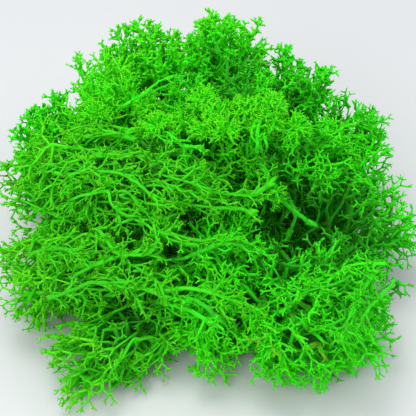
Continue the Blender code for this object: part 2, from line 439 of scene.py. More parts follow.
TUFTS: Tuple[TuftPlan, ...] = (
    TuftPlan("tuft_left_upper", (-1.0, 0.12, -0.08), Habit.LYING, Slot.YELLOW, 101, 0.94,
             strands=UPPER_STRANDS),
    TuftPlan("tuft_left_lower", (-1.0, -0.04, -0.16), Habit.LYING, Slot.YELLOW, 102, 1.22,
             strands=LOWER_STRANDS),
    TuftPlan("tuft_front_left", (-0.80, -0.55, -0.05), Habit.LYING, Slot.YELLOW, 103),
    TuftPlan("tuft_front_middle", (0.05, -0.90, -0.35), Habit.LEANING, Slot.FRESH, 104,
             strands=FRONT_STRANDS),
    TuftPlan("tuft_front_right", (0.62, -0.70, 0.25), Habit.LEANING, Slot.FRESH, 105, 0.68,
             strands=RIGHT_STRANDS),
    TuftPlan("tuft_middle", (0.05, 0.05, 1.0), Habit.UPRIGHT, Slot.FRESH, 106, 1.60,
             strands=MIDDLE_STRANDS, heads=MIDDLE_HEADS),
    TuftPlan("tuft_middle_right", (0.30, -0.15, 0.95), Habit.UPRIGHT, Slot.FRESH, 107, 0.76,
             heads=RIGHT_HEADS),
    TuftPlan("tuft_right", (0.60, -0.25, 0.65), Habit.LEANING, Slot.FRESH, 108, 0.58),
    TuftPlan("tuft_left_shoulder", (-0.30, 0.15, 0.95), Habit.UPRIGHT, Slot.FRESH, 109, 1.70,
             strands=SHOULDER_STRANDS, heads=SHOULDER_HEADS),
    TuftPlan("tuft_back_left", (-0.35, 0.20, 0.95), Habit.CLOSE, Slot.DEEP, 110, 0.70),
    TuftPlan("tuft_back_top_left", (-0.08, 0.15, 1.0), Habit.CLOSE, Slot.DEEP, 111, 1.48,
             lumps=(NOTCH,)),
    TuftPlan("tuft_back_top", (0.03, 0.15, 1.0), Habit.CLOSE, Slot.DEEP, 112, 1.48),
    TuftPlan("tuft_back_right_upper", (0.20, 0.10, 1.0), Habit.CLOSE, Slot.DEEP, 113, 0.62),
    TuftPlan("tuft_back_right", (0.50, 0.20, 0.85), Habit.LEANING, Slot.DEEP, 114, 0.58),
)


@dataclass(frozen=True)
class Ply:
    """One set of stalks in a tuft. The plies of a tuft overlap and cross.

    Attributes:
        foot_share: Where its foot is, as a share of the reach behind the middle.
        stems: How many stalks leave the foot.
        lift: How far the stalks rise to the open surface, as a share.
        swelling: The power of the number of tips with which a stalk's radius grows.
    """

    foot_share: float
    stems: int
    lift: float
    swelling: float = 0.18


@dataclass(frozen=True)
class HabitSizes:
    """The sizes that go with a habit.

    Attributes:
        plies: The plies of stalks.
        foot_spread: How far apart the stems start, as a share of how far apart
            the middles of their fronds are.
        bare_share: How many of the sprigs near the foot are left.
        wander: How much the stalks stray.
        outward: How strongly the sprigs turn to the open air.
        dome: How strongly the sprigs of a head fan out.
        twig_share: How many of the places along a stalk bear a side twig.
        valley: Half the width of the gaps between two heads, in mm.
    """

    plies: Tuple[Ply, ...]
    foot_spread: float
    bare_share: float
    wander: float
    outward: float
    dome: float
    twig_share: float
    valley: float


HABIT_SIZES: Dict[Habit, HabitSizes] = {
    Habit.UPRIGHT: HabitSizes((Ply(0.42, 7, 0.0),), 0.22, 1.0, 0.20, 0.20, 0.70, 0.18, 1.8),
    Habit.CLOSE: HabitSizes((Ply(0.42, 7, 0.0),), 0.22, 1.0, 0.20, 0.50, 0.50, 0.15, 1.0),
    Habit.LYING: HabitSizes((Ply(0.85, 5, 0.70, 0.19), Ply(0.45, 5, 0.50),
                             Ply(0.05, 5, 0.45)), 0.45, 0.70, 0.30, 0.15, 0.0, 0.45, 0.0),
    Habit.LEANING: HabitSizes((Ply(0.50, 6, 0.15), Ply(0.15, 6, 0.15)),
                              0.30, 0.9, 0.26, 0.25, 0.20, 0.28, 0.8),
}


class Envelope:
    """A packed tuft's solid, asked how far it reaches and what it holds."""

    BLOCK = 4096
    CROWN_TRIALS = 1500
    CROWN_SPACING = 14.5
    CROWN_SURROUND = 13.0

    def __init__(self, node: bpy.types.Object) -> None:
        """Read the node's triangles and find the middle of its volume.

        Args:
            node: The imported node's object.
        """
        mesh = node.data
        mesh.calc_loop_triangles()
        corners = np.empty(len(mesh.vertices) * 3, np.float64)
        mesh.vertices.foreach_get("co", corners)
        faces = np.empty(len(mesh.loop_triangles) * 3, np.int64)
        mesh.loop_triangles.foreach_get("vertices", faces)
        self.triangles = corners.reshape(-1, 3)[faces.reshape(-1, 3)] / METRE
        first, second, third = self.triangles.transpose(1, 0, 2)
        volume = (first * np.cross(second, third)).sum(1) / 6.0
        self.volume = float(volume.sum())
        quarter = (first + second + third) / 4.0
        self.middle = (volume[:, None] * quarter).sum(0) / self.volume
        self.low = self.triangles.min((0, 1))
        self.high = self.triangles.max((0, 1))
        cone = (self.triangles - self.middle).transpose(0, 2, 1)
        solid = np.abs(np.linalg.det(cone)) > 1e-6
        self._inverse = np.linalg.inv(cone[solid]).reshape(-1, 3).T

    def reach(self, directions: Array) -> Array:
        """How far the solid goes from its middle in each direction.

        A direction is written as a sum of a triangle's three corner vectors. Where
        all three weights are positive, the ray meets that triangle at one over
        their sum, and the farthest meeting counts.

        Args:
            directions: Unit vectors, one a row.

        Returns:
            The distances in mm.
        """
        found = np.zeros(len(directions))
        for start in range(0, len(directions), self.BLOCK):
            rows = directions[start:start + self.BLOCK]
            weights = (rows @ self._inverse).reshape(len(rows), -1, 3)
            total = weights.sum(2)
            meets = (weights.min(2) >= -1e-7) & (total > 1e-9)
            far = np.where(meets, 1.0 / np.maximum(total, 1e-9), 0.0)
            found[start:start + self.BLOCK] = far.max(1)
        return found

    def crowns(self) -> Array:
        """The tops of the solid's rounded heads.

        Points are spread over the solid on a golden spiral of directions. Each is
        rated by its reach less the mean reach of the points around it, and the
        best are taken one after another, each well away from those before.

        Returns:
            The tops in mm, one a row.
        """
        way = golden_spiral(self.CROWN_TRIALS)
        reach = self.reach(way)
        point = self.middle + way * reach[:, None]
        apart = np.linalg.norm(point[:, None] - point[None], axis=2)
        around = apart < self.CROWN_SURROUND
        rating = reach - (around * reach).sum(1) / around.sum(1)
        taken: List[int] = []
        for number in np.argsort(-rating):
            if not taken or apart[number, taken].min() >= self.CROWN_SPACING:
                taken.append(int(number))
        return point[taken]

    def holds(self, points: Array, inset: float = 0.0) -> Array:
        """Which points are inside the solid by at least the inset.

        Args:
            points: Points in mm, one a row.
            inset: How far inside they have to be, measured from the middle.

        Returns:
            True for each point that is inside.
        """
        inside = np.all((points > self.low) & (points < self.high), axis=1)
        offset = points[inside] - self.middle
        distance = np.linalg.norm(offset, axis=1)
        inside[inside] = distance < self.reach(unit(offset)) - inset
        return inside

    def surface_points(self, spacing: float, rng: Lot) -> Tuple[Array, Array]:
        """Points spread evenly by lot over the solid's faces.

        Args:
            spacing: The distance in mm that gives each point its share of area.
            rng: The lot.

        Returns:
            The points and the outward normals of the faces that they are on.
        """
        first, second, third = self.triangles.transpose(1, 0, 2)
        normal = np.cross(second - first, third - first)
        area = np.linalg.norm(normal, axis=1) / 2.0
        count = int(area.sum() / spacing ** 2)
        face = rng.choice(len(area), count, p=area / area.sum())
        root = np.sqrt(rng.random((count, 1)))
        slide = rng.random((count, 1))
        point = (first[face] * (1.0 - root) + second[face] * root * (1.0 - slide)
                 + third[face] * root * slide)
        return point, unit(normal[face])


class Heap:
    """All tufts together: how deep a point lies under the open surface."""

    SEED = 7
    SPACING = 2.4
    PROBE = 1.8
    LEAST_PROBE_HEIGHT = 1.0
    BLOCK = 1024
    SHELTER_RISE = 12.0
    SHELTER_RANGE = 10.0
    SHELTER_CEILING = 18.0

    def __init__(self, envelopes: Dict[str, Envelope]) -> None:
        """Keep the surface points from which one can leave the heap.

        A point counts as open if a probe's length outwards from it lies in no
        other tuft, above the ground and not in a hole under the heap.

        Args:
            envelopes: The tufts' solids by node name.
        """
        rng = np.random.default_rng(self.SEED)
        self.envelopes = tuple(envelopes.values())
        self.low = np.min([envelope.low for envelope in envelopes.values()], axis=0)
        self.high = np.max([envelope.high for envelope in envelopes.values()], axis=0)
        opened: List[Array] = []
        facing: List[Array] = []
        for name, envelope in envelopes.items():
            point, normal = envelope.surface_points(self.SPACING, rng)
            probe = point + normal * self.PROBE
            free = probe[:, 2] > self.LEAST_PROBE_HEIGHT
            for other_name, other in envelopes.items():
                if other_name != name:
                    free &= ~other.holds(probe)
            opened.append(point[free])
            facing.append(normal[free])
        points = np.concatenate(opened)
        # Points in holes under the heap don't count as open, so stalks there lie deep and are drawn
        # dark: painted shade.
        outside = ~self.sheltered(points)
        self.open_points = points[outside]
        self.open_normals = np.concatenate(facing)[outside]

    def held(self, points: Array) -> Array:
        """Which points are inside any tuft.

        Args:
            points: Points in mm, one a row.

        Returns:
            True for each point that is.
        """
        inside = np.zeros(len(points), bool)
        for envelope in self.envelopes:
            rest = np.flatnonzero(~inside)
            inside[rest] = envelope.holds(points[rest])
        return inside

    def sheltered(self, points: Array) -> Array:
        """Which low points have tufts over them, and over the places all round.

        The points are moved up by one or two rises, straight and with a step in
        each of eight directions, and each time one of the two has to be in a tuft.

        Args:
            points: Points in mm, one a row.

        Returns:
            True for each sheltered point.
        """
        below = points[:, 2] < self.SHELTER_CEILING
        turn = np.arange(8) * math.pi / 4.0
        steps = np.column_stack((np.cos(turn), np.sin(turn))) * self.SHELTER_RANGE
        for step_x, step_y in np.vstack(((0.0, 0.0), steps)):
            rest = np.flatnonzero(below)
            above = points[rest] + (step_x, step_y, self.SHELTER_RISE)
            below[rest] = self.held(above) | self.held(above + (0.0, 0.0, self.SHELTER_RISE))
        return below

    def clear_of_box(self, points: Array, reach: float, overhang: float) -> Array:
        """Which sprigs end inside the heap's box, or just outside it.

        Args:
            points: Where the sprigs start, in mm.
            reach: How long they are.
            overhang: How far they may stand out, as a share of the box's sides.

        Returns:
            True for each sprig that does. The ground is no limit.
        """
        margin = np.maximum(reach - overhang * (self.high - self.low), 0.0)
        over = np.any(points > self.high - margin, axis=1)
        under = np.any(points[:, :2] < (self.low + margin)[:2], axis=1)
        return ~(over | under)

    def painted_shade(self, points: Array) -> Array:
        """The hollows' painted shade at points, as extra depth in mm."""
        return np.sum([hollow.shadow(points) for hollow in HOLLOWS], axis=0)

    def nearest_open(self, points: Array) -> Tuple[Array, Array]:
        """How far the open surface is, and which way it faces there.

        The squared distance of two points is the sum of their squares less twice
        their product, so a block of points is one matrix product.

        Args:
            points: Points in mm, one a row.

        Returns:
            The distances in mm, and the normals of the nearest open points.
        """
        depth = np.empty(len(points))
        normal = np.empty((len(points), 3))
        middle = self.open_points.mean(0)
        target = (self.open_points - middle).astype(np.float32)
        square = (target ** 2).sum(1)
        for start in range(0, len(points), self.BLOCK):
            rows = (points[start:start + self.BLOCK] - middle).astype(np.float32)
            apart = square - 2.0 * (rows @ target.T)
            nearest = apart.argmin(1)
            gap = target[nearest] - rows
            depth[start:start + self.BLOCK] = np.linalg.norm(gap, axis=1)
            normal[start:start + self.BLOCK] = self.open_normals[nearest]
        return depth, normal


@dataclass(frozen=True)
class Hollow:
    """A gap in the heap where no outer sprig starts, with painted shade around it.

    Attributes:
        middle: Its middle, in mm.
        reach: Its half widths, in mm.
        core: The share of them that old stalks leave free too.
        painted_shade: How much painted shade darkens its middle, as extra depth in mm.
    """

    middle: Point
    reach: Point
    core: float = 0.0
    painted_shade: float = 4.0

    SHADOW_SWELLING = 1.25

    def shadow(self, points: Array) -> Array:
        """The painted shade at points, as extra depth: the painted_shade times e to minus the squared
        shares.

        Args:
            points: Points in mm, one a row.

        Returns:
            The painted shade depths to add, in mm.
        """
        share = squared_share(points, self.middle, self.reach, self.SHADOW_SWELLING)
        return self.painted_shade * np.exp(-share)

    def outside(self, points: Array, outer: bool) -> Array:
        """Which points are outside: the sum of the squared shares is over one.

        Args:
            points: Points in mm, one a row.
            outer: Whether outer sprigs are asked for. For old stalks only the
                core counts, a share of the half widths.

        Returns:
            True for each point that is outside.
        """
        share = squared_share(points, self.middle, self.reach)
        return share > (1.0 if outer else self.core ** 2)


HOLLOWS: Tuple[Hollow, ...] = (
    Hollow((38.0, -18.0, 33.0), (14.0, 12.0, 11.0), 1.0, 22.0),
    Hollow((38.0, -6.0, 24.0), (12.0, 9.0, 9.0), 1.0, 22.0),
    Hollow((37.0, 2.0, 17.0), (10.0, 8.0, 7.0), 1.0, 14.0),
    Hollow((36.0, -25.0, 34.0), (12.0, 6.0, 6.5), 0.8, 12.0),
    Hollow((-9.0, -16.0, 46.0), (6.0, 5.0, 6.0)),
    Hollow((-28.0, 3.0, 57.0), (6.5, 5.5, 8.0)),
    Hollow((-49.0, -14.0, 36.0), (6.5, 5.0, 7.0)),
    Hollow((-22.0, -25.0, 48.0), (4.5, 4.0, 4.5)),
    Hollow((-35.0, -24.0, 50.0), (5.0, 4.5, 5.0)),
    Hollow((-46.5, -21.0, 48.0), (4.5, 4.5, 5.0)),
    Hollow((-25.0, -31.0, 38.0), (6.0, 5.0, 6.0)),
    Hollow((-22.0, -54.0, 23.0), (5.0, 5.5, 7.0)),
    Hollow((-27.0, -46.0, 24.0), (4.5, 6.0, 7.0)),
    Hollow((-46.0, -43.0, 28.0), (5.0, 4.0, 5.0)),
    Hollow((13.0, -45.0, 33.0), (5.5, 5.5, 6.5), 0.0, 7.0),
    Hollow((42.0, -58.0, 36.0), (6.0, 5.0, 5.0)),
    Hollow((-14.0, 40.0, 66.0), (5.0, 6.0, 7.0)),
    Hollow((11.0, 34.0, 64.0), (18.0, 11.0, 9.5), 0.0, 17.0),
    Hollow((6.0, 18.0, 76.0), (10.0, 9.0, 9.0), 0.0, 10.0),
    Hollow((21.0, 23.0, 77.0), (8.0, 8.0, 6.5), 0.0, 10.0),
    Hollow((-13.0, 12.0, 65.0), (7.0, 7.0, 7.0), 0.0, 10.0),
    Hollow((8.8, 4.6, 64.0), (4.5, 6.5, 7.5), 0.0, 10.0),
    Hollow((-5.0, -5.0, 58.0), (4.0, 5.0, 6.0)),
    Hollow((29.0, 13.0, 58.0), (5.5, 6.5, 8.5), 0.0, 12.0),
    Hollow((57.0, 14.0, 50.0), (5.0, 5.0, 6.0)),
)


@dataclass
class Forks:
    """The forked plan of one tuft, one row for each stretch between two forks.

    Attributes:
        foot: Where the stretch starts.
        head: Where it ends, at a fork or at a tip.
        size: How many tips it carries.
        parent: The stretch that it leaves, or -1 at the foot of the tuft.
        main: The thicker stretch that goes on from its head, or -1 at a tip.
        side: The thinner one, or -1.
    """

    foot: Array
    head: Array
    size: Array
    parent: Array
    main: Array
    side: Array

    def heading(self) -> Array:
        """Unit vectors from each foot to its head."""
        return unit(self.head - self.foot)


@dataclass
class Cluster:
    """Groups of tips, each a run in one list of tip numbers."""

    member: Array
    size: Array

    FORWARD_DAMPING = 0.45
    SPLIT_LOWEST = 0.28
    AXIS_STRAY = 0.16
    GAP_LOT = (0.3, 1.0)

    def owner(self) -> Array:
        """The group number of each member."""
        return np.repeat(np.arange(len(self.size)), self.size)

    def first(self) -> Array:
        """Where each group's run starts."""
        return np.concatenate(([0], np.cumsum(self.size)[:-1]))

    def middle(self, tips: Array) -> Array:
        """The mean place of each group's tips."""
        total = np.add.reduceat(tips[self.member], self.first(), axis=0)
        return total / self.size[:, None]

    def halves(self, tips: Array, heading: Array, rng: Lot) -> "Cluster":
        """Part each group in two across the way its tips are spread widest.

        The widest way is the eigenvector of the largest eigenvalue of the tips'
        covariance, in which the stretch along the heading counts for less, so that
        stalks fork sideways. The tips are put in order along it, and the run is
        cut at its widest gap, times a lot, that leaves enough on both sides.

        Args:
            tips: All tips of the tuft.
            heading: The direction in which each group's stalk comes in.
            rng: The lot.

        Returns:
            The new groups, two for each old one, in order.
        """
        owner = self.owner()
        offset = tips[self.member] - self.middle(tips)[owner]
        forward = (offset * heading[owner]).sum(1, keepdims=True)
        offset = offset - self.FORWARD_DAMPING * forward * heading[owner]
        square = offset[:, :, None] * offset[:, None, :]
        spread = np.add.reduceat(square, self.first(), axis=0)
        axis = np.linalg.eigh(spread)[1][:, :, 2]
        axis = unit(axis + rng.normal(0.0, self.AXIS_STRAY, axis.shape))
        along = (offset * axis[owner]).sum(1)
        order = np.lexsort((along, owner))
        gap = np.append(np.diff(along[order]), 0.0) * rng.uniform(*self.GAP_LOT, len(owner))
        place = np.arange(len(owner)) - self.first()[owner] + 1
        least = np.maximum(self.size * self.SPLIT_LOWEST, 1.0)[owner]
        gap[(place < least) | (place > self.size[owner] - least)] = -1.0
        gap[place == self.size[owner]] = -2.0
        widest = np.lexsort((gap, owner))[self.first() + self.size - 1]
        left = place[widest]
        size = np.column_stack((left, self.size - left)).ravel()
        return Cluster(self.member[order], size)

    def pick(self, chosen: Array) -> "Cluster":
        """Keep only the chosen groups."""
        return Cluster(self.member[chosen[self.owner()]], self.size[chosen])


@dataclass
class ForkPlanner:
    """Grows the forks of one ply of stalks, from its foot to its tips.

    Attributes:
        envelope: The tuft's solid.
        heap: All tufts.
        growth: Unit vector of the tuft's growth.
        sizes: The sizes of the tuft's habit.
        foot_share: Where the foot is, as a share of the reach behind the middle.
        stems: How many stalks leave the foot.
        lift: How far the stalks rise to the open surface, as a share.
        rng: The lot.
    """

    envelope: Envelope
    heap: Heap
    growth: Array
    sizes: HabitSizes
    foot_share: float
    stems: int
    lift: float
    rng: Lot

    # How much a stretch keeps the direction of the one before it
    MOMENTUM = 0.42
    # Up to how many sprigs are one head, large and small, and how they draw together
    HEAD_SIZES = (16, 6)
    GATHER = 0.21
    # Below the cover depth stalks rise, those with many tips most
    COVER_DEPTH = 2.4
    HIGHEST_RISE = 12.0
    FULL_LIFT_DOUBLINGS = 4.0
    LEAST_LIFT = 0.25
    # How long stretches are, and how often two forks come close
    SLOWING = 0.55
    STEP_LOT = (0.65, 1.35)
    CLOSE_CHANCE = 0.28
    CLOSE_STEP = 0.32
    LONGEST_STEP = 0.85
    SHORTEST_STRETCH = 0.9
    # How the stems' feet and first headings stray
    FOOT_STRAY = 1.6
    FOOT_SLIDE = (-3.5, 4.5)
    HEADING_STRAY = 0.2

    def step_share(self, size: Array) -> Array:
        """Which share of the way to its tips' middle a stretch covers.

        The share is one over one plus the slowing times the number of doublings
        from one tip to the group, times a lot, and small where two forks are close.

        Args:
            size: The number of tips of each group.

        Returns:
            The shares, at most the longest step.
        """
        share = 1.0 / (1.0 + self.SLOWING * np.log2(size))
        share = share * self.rng.uniform(*self.STEP_LOT, len(size))
        close = self.rng.random(len(size)) < self.CLOSE_CHANCE
        return np.minimum(np.where(close, share * self.CLOSE_STEP, share), self.LONGEST_STEP)

    def stem_groups(self, tips: Array) -> Cluster:
        """Part all tips into the groups that the stems carry.

        Args:
            tips: The tips in mm.

        Returns:
            The groups, at least as many as the stems.
        """
        groups = Cluster(np.arange(len(tips)), np.array([len(tips)]))
        while len(groups.size) < self.stems:
            heading = np.repeat(self.growth[None, :], len(groups.size), axis=0)
            groups = groups.halves(tips, heading, self.rng)
        return groups

    def lifted(self, points: Array, size: Array) -> Array:
        """Raise places of stalks towards the open surface.

        A place moves along the nearest surface's normal by the lift times what
        its depth is more than the cover depth, up to the highest rise. Thin stalks
        move less: their lift is a share that grows with the doublings of their tips.

        Args:
            points: The places in mm.
            size: How many tips each of them carries.

        Returns:
            The raised places.
        """
        if self.lift <= 0.0:
            return points
        depth, outward = self.heap.nearest_open(points)
        doublings = np.log2(size) / self.FULL_LIFT_DOUBLINGS
        share = np.clip(doublings, self.LEAST_LIFT, 1.0) * self.lift
        rise = np.clip(depth - self.COVER_DEPTH, 0.0, self.HIGHEST_RISE) * share
        return points + outward * rise[:, None]

    def feet(self, tips: Array, groups: Cluster) -> Array:
        """Where the stems start: around the foot, each on the side of its tips.

        Args:
            tips: The tips in mm.
            groups: The groups of tips that the stems carry.

        Returns:
            The places in mm.
        """
        back = self.envelope.reach(-self.growth[None, :])[0]
        base = self.envelope.middle - self.growth * back * self.foot_share
        offset = groups.middle(tips) - self.envelope.middle
        offset -= self.growth * (offset @ self.growth)[:, None]
        foot = base + offset * self.sizes.foot_spread
        foot += self.rng.normal(0.0, self.FOOT_STRAY, foot.shape)
        foot -= self.growth * self.rng.uniform(*self.FOOT_SLIDE, (len(foot), 1))
        return self.lifted(foot, groups.size)

    def heads(self, tips: Array, groups: Cluster, foot: Array, heading: Array) -> Array:
        """Where the stretches of one level end.

        A stretch goes towards the middle of its tips, bent by the direction that
        it comes from. A group of one tip goes straight to it.

        Args:
            tips: The tips in mm.
            groups: The groups of tips that the stretches carry.
            foot: Where they start.
            heading: The directions that they come from.

        Returns:
            The places in mm.
        """
        gap = groups.middle(tips) - foot
        length = np.linalg.norm(gap, axis=1, keepdims=True)
        way = unit(unit(gap) + self.MOMENTUM * heading
                   + self.rng.normal(0.0, self.sizes.wander, gap.shape))
        step = length * self.step_share(groups.size)[:, None]
        head = self.lifted(foot + way * np.maximum(step, self.SHORTEST_STRETCH), groups.size)
        single = groups.size == 1
        head[single] = tips[groups.member[groups.first()[single]]]
        head[:, 2] = np.maximum(head[:, 2], GROUND_CLEARANCE)
        return head

    def grow(self, tips: Array) -> Forks:
        """Work out every fork of the ply, one level of forks at a time.

        Each group of more than one tip parts in two where its stretch ends.

        Args:
            tips: The tips in mm.

        Returns:
            The forked plan.
        """
        groups = self.stem_groups(tips)
        foot = self.feet(tips, groups)
        heading = unit(self.growth + self.rng.normal(0.0, self.HEADING_STRAY, foot.shape))
        parent = np.full(len(foot), -1)
        rows: List[Tuple[Array, ...]] = []
        counted = 0
        while len(groups.size):
            foot[:, 2] = np.maximum(foot[:, 2], GROUND_CLEARANCE)
            head = self.heads(tips, groups, foot, heading)
            number = counted + np.arange(len(foot))
            rows.append((foot, head, groups.size, parent))
            counted += len(foot)
            fork = groups.size > 1
            came = unit(head - foot)[fork]
            groups = groups.pick(fork)
            if not len(groups.size):
                break
            tips = self.gathered(tips, groups, came)
            groups = groups.halves(tips, came, self.rng)
            foot = np.repeat(head[fork], 2, axis=0)
            heading = np.repeat(came, 2, axis=0)
            parent = np.repeat(number[fork], 2)
        columns = [np.concatenate(part) for part in zip(*rows)]
        return self.linked(*columns)

    def gathered(self, tips: Array, groups: Cluster, heading: Array) -> Array:
        """Draw the sprigs of each head together, square to its stalk.

        Each sprig of a group of a head's size moves by a share of its offset
        from the group's middle, less the part of the offset along the heading.

        Args:
            tips: All sprig places.
            groups: The groups at this level.
            heading: The direction in which each group's stalk comes in.

        Returns:
            The moved places.
        """
        owner = groups.owner()
        is_head = np.zeros(len(groups.size), bool)
        for most in self.HEAD_SIZES:
            is_head |= (groups.size <= most) & (groups.size > most // 2)
        offset = tips[groups.member] - groups.middle(tips)[owner]
        ahead = heading[owner]
        offset = offset - ahead * (offset * ahead).sum(1, keepdims=True)
        moved = tips.copy()
        moved[groups.member] -= offset * self.GATHER * is_head[owner][:, None]
        return moved

    def linked(self, foot: Array, head: Array, size: Array, parent: Array) -> Forks:
        """Find the thicker and the thinner stretch that leave each fork.

        Args:
            foot: Where the stretches start.
            head: Where they end.
            size: How many tips they carry.
            parent: The stretches that they leave.

        Returns:
            The forked plan.
        """
        count = len(size)
        main = np.full(count, -1)
        side = np.full(count, -1)
        born = np.flatnonzero(parent >= 0).reshape(-1, 2)
        larger = size[born[:, 1]] > size[born[:, 0]]
        fork = parent[born[:, 0]]
        main[fork] = np.where(larger, born[:, 1], born[:, 0])
        side[fork] = np.where(larger, born[:, 0], born[:, 1])
        return Forks(foot, head, size, parent, main, side)


@dataclass
class Tubes:
    """Tubes that have the same number of rings.

    Attributes:
        centre: Ring centres, tube by ring by xyz.
        across: Unit vectors of the rings' wide way.
        through: Unit vectors of their thin way.
        wide: Half widths, tube by ring.
        thick: Half thicknesses.
        shade: How bright the stalk's colour is drawn there, 0 to 1, tube by ring, low deep in the heap
            as painted shade.
        tone: Each tube's own tone, 0 to 1.
        point: How far the pointed end stands out past the last ring.
    """

    centre: Array
    across: Array
    through: Array
    wide: Array
    thick: Array
    shade: Array
    tone: Array
    point: Array


class MeshStock:
    """Gathers tubes as vertices, faces and map places, and makes one mesh of them."""

    RING_STEP = 0.004
    SIDE_STEP = 0.006
    APEX_STEP = 3.0 * RING_STEP
    MAP_LOW = 0.03
    MAP_HIGH = 0.95
    LOWEST = 0.02

    def __init__(self) -> None:
        """Start with nothing."""
        self._points: List[Array] = []
        self._corners: List[Array] = []
        self._totals: List[Array] = []
        self._places: List[Array] = []
        self._count = 0
        self.triangles = 0

    def _add_faces(self, corners: Array, places: Array) -> None:
        """Keep faces that all have the same number of corners.

        Args:
            corners: Vertex numbers, face by corner.
            places: Map places, face by corner by two.
        """
        self._corners.append(corners.ravel() + self._count)
        self._totals.append(np.full(len(corners), corners.shape[1]))
        self._places.append(places.reshape(-1, 2))
        self.triangles += len(corners) * (corners.shape[1] - 2)

    def _ring_points(self, tubes: Tubes, sides: int) -> Array:
        """The tubes' points, ring after ring, with each tube's pointed end last.

        A ring's point is its centre plus the wide way times the half width and
        the cosine, and the thin way times the half thickness and the sine, of
        its angle.

        Args:
            tubes: The tubes.
            sides: Sides of each tube.

        Returns:
            The points, one a row.
        """
        count, rings = tubes.wide.shape
        angle = np.arange(sides) * 2.0 * math.pi / sides
        ring = (tubes.centre[:, :, None, :]
                + tubes.across[:, :, None, :] * (tubes.wide[:, :, None] * np.cos(angle))[..., None]
                + tubes.through[:, :, None, :] * (tubes.thick[:, :, None] * np.sin(angle))[..., None])
        ahead = np.cross(tubes.across[:, -1], tubes.through[:, -1])
        apex = tubes.centre[:, -1] + ahead * tubes.point[:, None]
        flat = ring.reshape(count, rings * sides, 3)
        return np.concatenate((flat, apex[:, None, :]), axis=1).reshape(-1, 3)

    def _map_lines(self, tubes: Tubes) -> Tuple[Array, Array]:
        """Each ring's shade, with a step more at every second one, and each tube's tone."""
        shade = np.clip(tubes.shade, self.MAP_LOW, self.MAP_HIGH)
        shade = shade + self.RING_STEP * (np.arange(tubes.wide.shape[1]) % 2)
        return shade, np.clip(tubes.tone, self.MAP_LOW, self.MAP_HIGH)

    def _map_places(self, tubes: Tubes, sides: int) -> Array:
        """Where the points of the tubes lie on the map.

        A ring lies at its shade and the tube's tone, each moved by a step, so
        that no face has zero width there.

        Args:
            tubes: The tubes.
            sides: Sides of each tube.

        Returns:
            Map places in the order of the points.
        """
        count, rings = tubes.wide.shape
        shade, tone = self._map_lines(tubes)
        swing = np.where(np.arange(sides) % 2 == 0, self.SIDE_STEP, -self.SIDE_STEP)
        if sides % 2:
            swing[-1] = 0.0
        grid = np.empty((count, rings, sides, 2))
        grid[..., 0] = shade[:, :, None]
        grid[..., 1] = tone[:, None, None] + swing
        apex = np.stack((shade[:, -1] + self.APEX_STEP, tone), axis=-1)
        flat = grid.reshape(count, rings * sides, 2)
        return np.concatenate((flat, apex[:, None]), axis=1).reshape(-1, 2)

    def _start_places(self, tubes: Tubes, sides: int) -> Array:
        """Where the corners of the flat starts lie on the map: on a small ellipse.

        Args:
            tubes: The tubes.
            sides: Sides of each tube.

        Returns:
            Map places, tube by corner by two.
        """
        angle = np.arange(sides) * 2.0 * math.pi / sides
        shade, tone = self._map_lines(tubes)
        return np.stack((shade[:, :1] + self.RING_STEP * np.cos(angle),
                         tone[:, None] + self.SIDE_STEP * np.sin(angle)), axis=-1)

    def add(self, tubes: Tubes, sides: int) -> None:
        """Skin tubes with the given number of sides.

        Faces with four corners join each ring to the next. The start is a flat
        face, and faces with three corners close the end to a point.

        Args:
            tubes: The tubes.
            sides: Sides of each tube, at least 3.
        """
        count, rings = tubes.wide.shape
        total = rings * sides + 1
        start = (np.arange(count) * total)[:, None]
        here = np.arange(sides)
        after = (here + 1) % sides
        low = (np.arange(rings - 1) * sides)[:, None]
        quad = np.stack((low + here, low + after, low + sides + after,
                         low + sides + here), axis=-1).reshape(-1, 4)
        last = (rings - 1) * sides
        cone = np.stack((last + here, last + after, np.full(sides, total - 1)), axis=-1)
        places = self._map_places(tubes, sides)
        for pattern in (quad, cone):
            faces = (start[:, :, None] + pattern).reshape(-1, pattern.shape[1])
            self._add_faces(faces, places[faces])
        self._add_faces(start + here[::-1], self._start_places(tubes, sides))
        self._points.append(self._ring_points(tubes, sides))
        self._count += count * total

    def above_ground(self, points: Array) -> Array:
        """Points with none below the ground."""
        lifted = points.copy()
        lifted[:, 2] = np.maximum(lifted[:, 2], self.LOWEST)
        return lifted

    def make(self, name: str, material: bpy.types.Material) -> bpy.types.Object:
        """Put everything gathered into one object, in metres.

        Args:
            name: Name of the piece.
            material: Its finish.

        Returns:
            The object, linked to the scene.
        """
        points = self.above_ground(np.concatenate(self._points)) * METRE
        corners = np.concatenate(self._corners)
        totals = np.concatenate(self._totals)
        mesh = bpy.data.meshes.new(name)
        mesh.vertices.add(len(points))
        mesh.vertices.foreach_set("co", points.astype(np.float32).ravel())
        mesh.loops.add(len(corners))
        mesh.polygons.add(len(totals))
        starts = np.concatenate(([0], np.cumsum(totals)[:-1]))
        mesh.polygons.foreach_set("loop_start", starts.astype(np.int32))
        mesh.loops.foreach_set("vertex_index", corners.astype(np.int32))
        mesh.polygons.foreach_set("use_smooth", np.ones(len(totals), bool))
        layer = mesh.uv_layers.new(name=UV_NAME)
        layer.uv.foreach_set("vector", np.concatenate(self._places).astype(np.float32).ravel())
        mesh.update(calc_edges=True)
        mesh.materials.append(material)
        item = bpy.data.objects.new(name, mesh)
        bpy.context.scene.collection.objects.link(item)
        return item


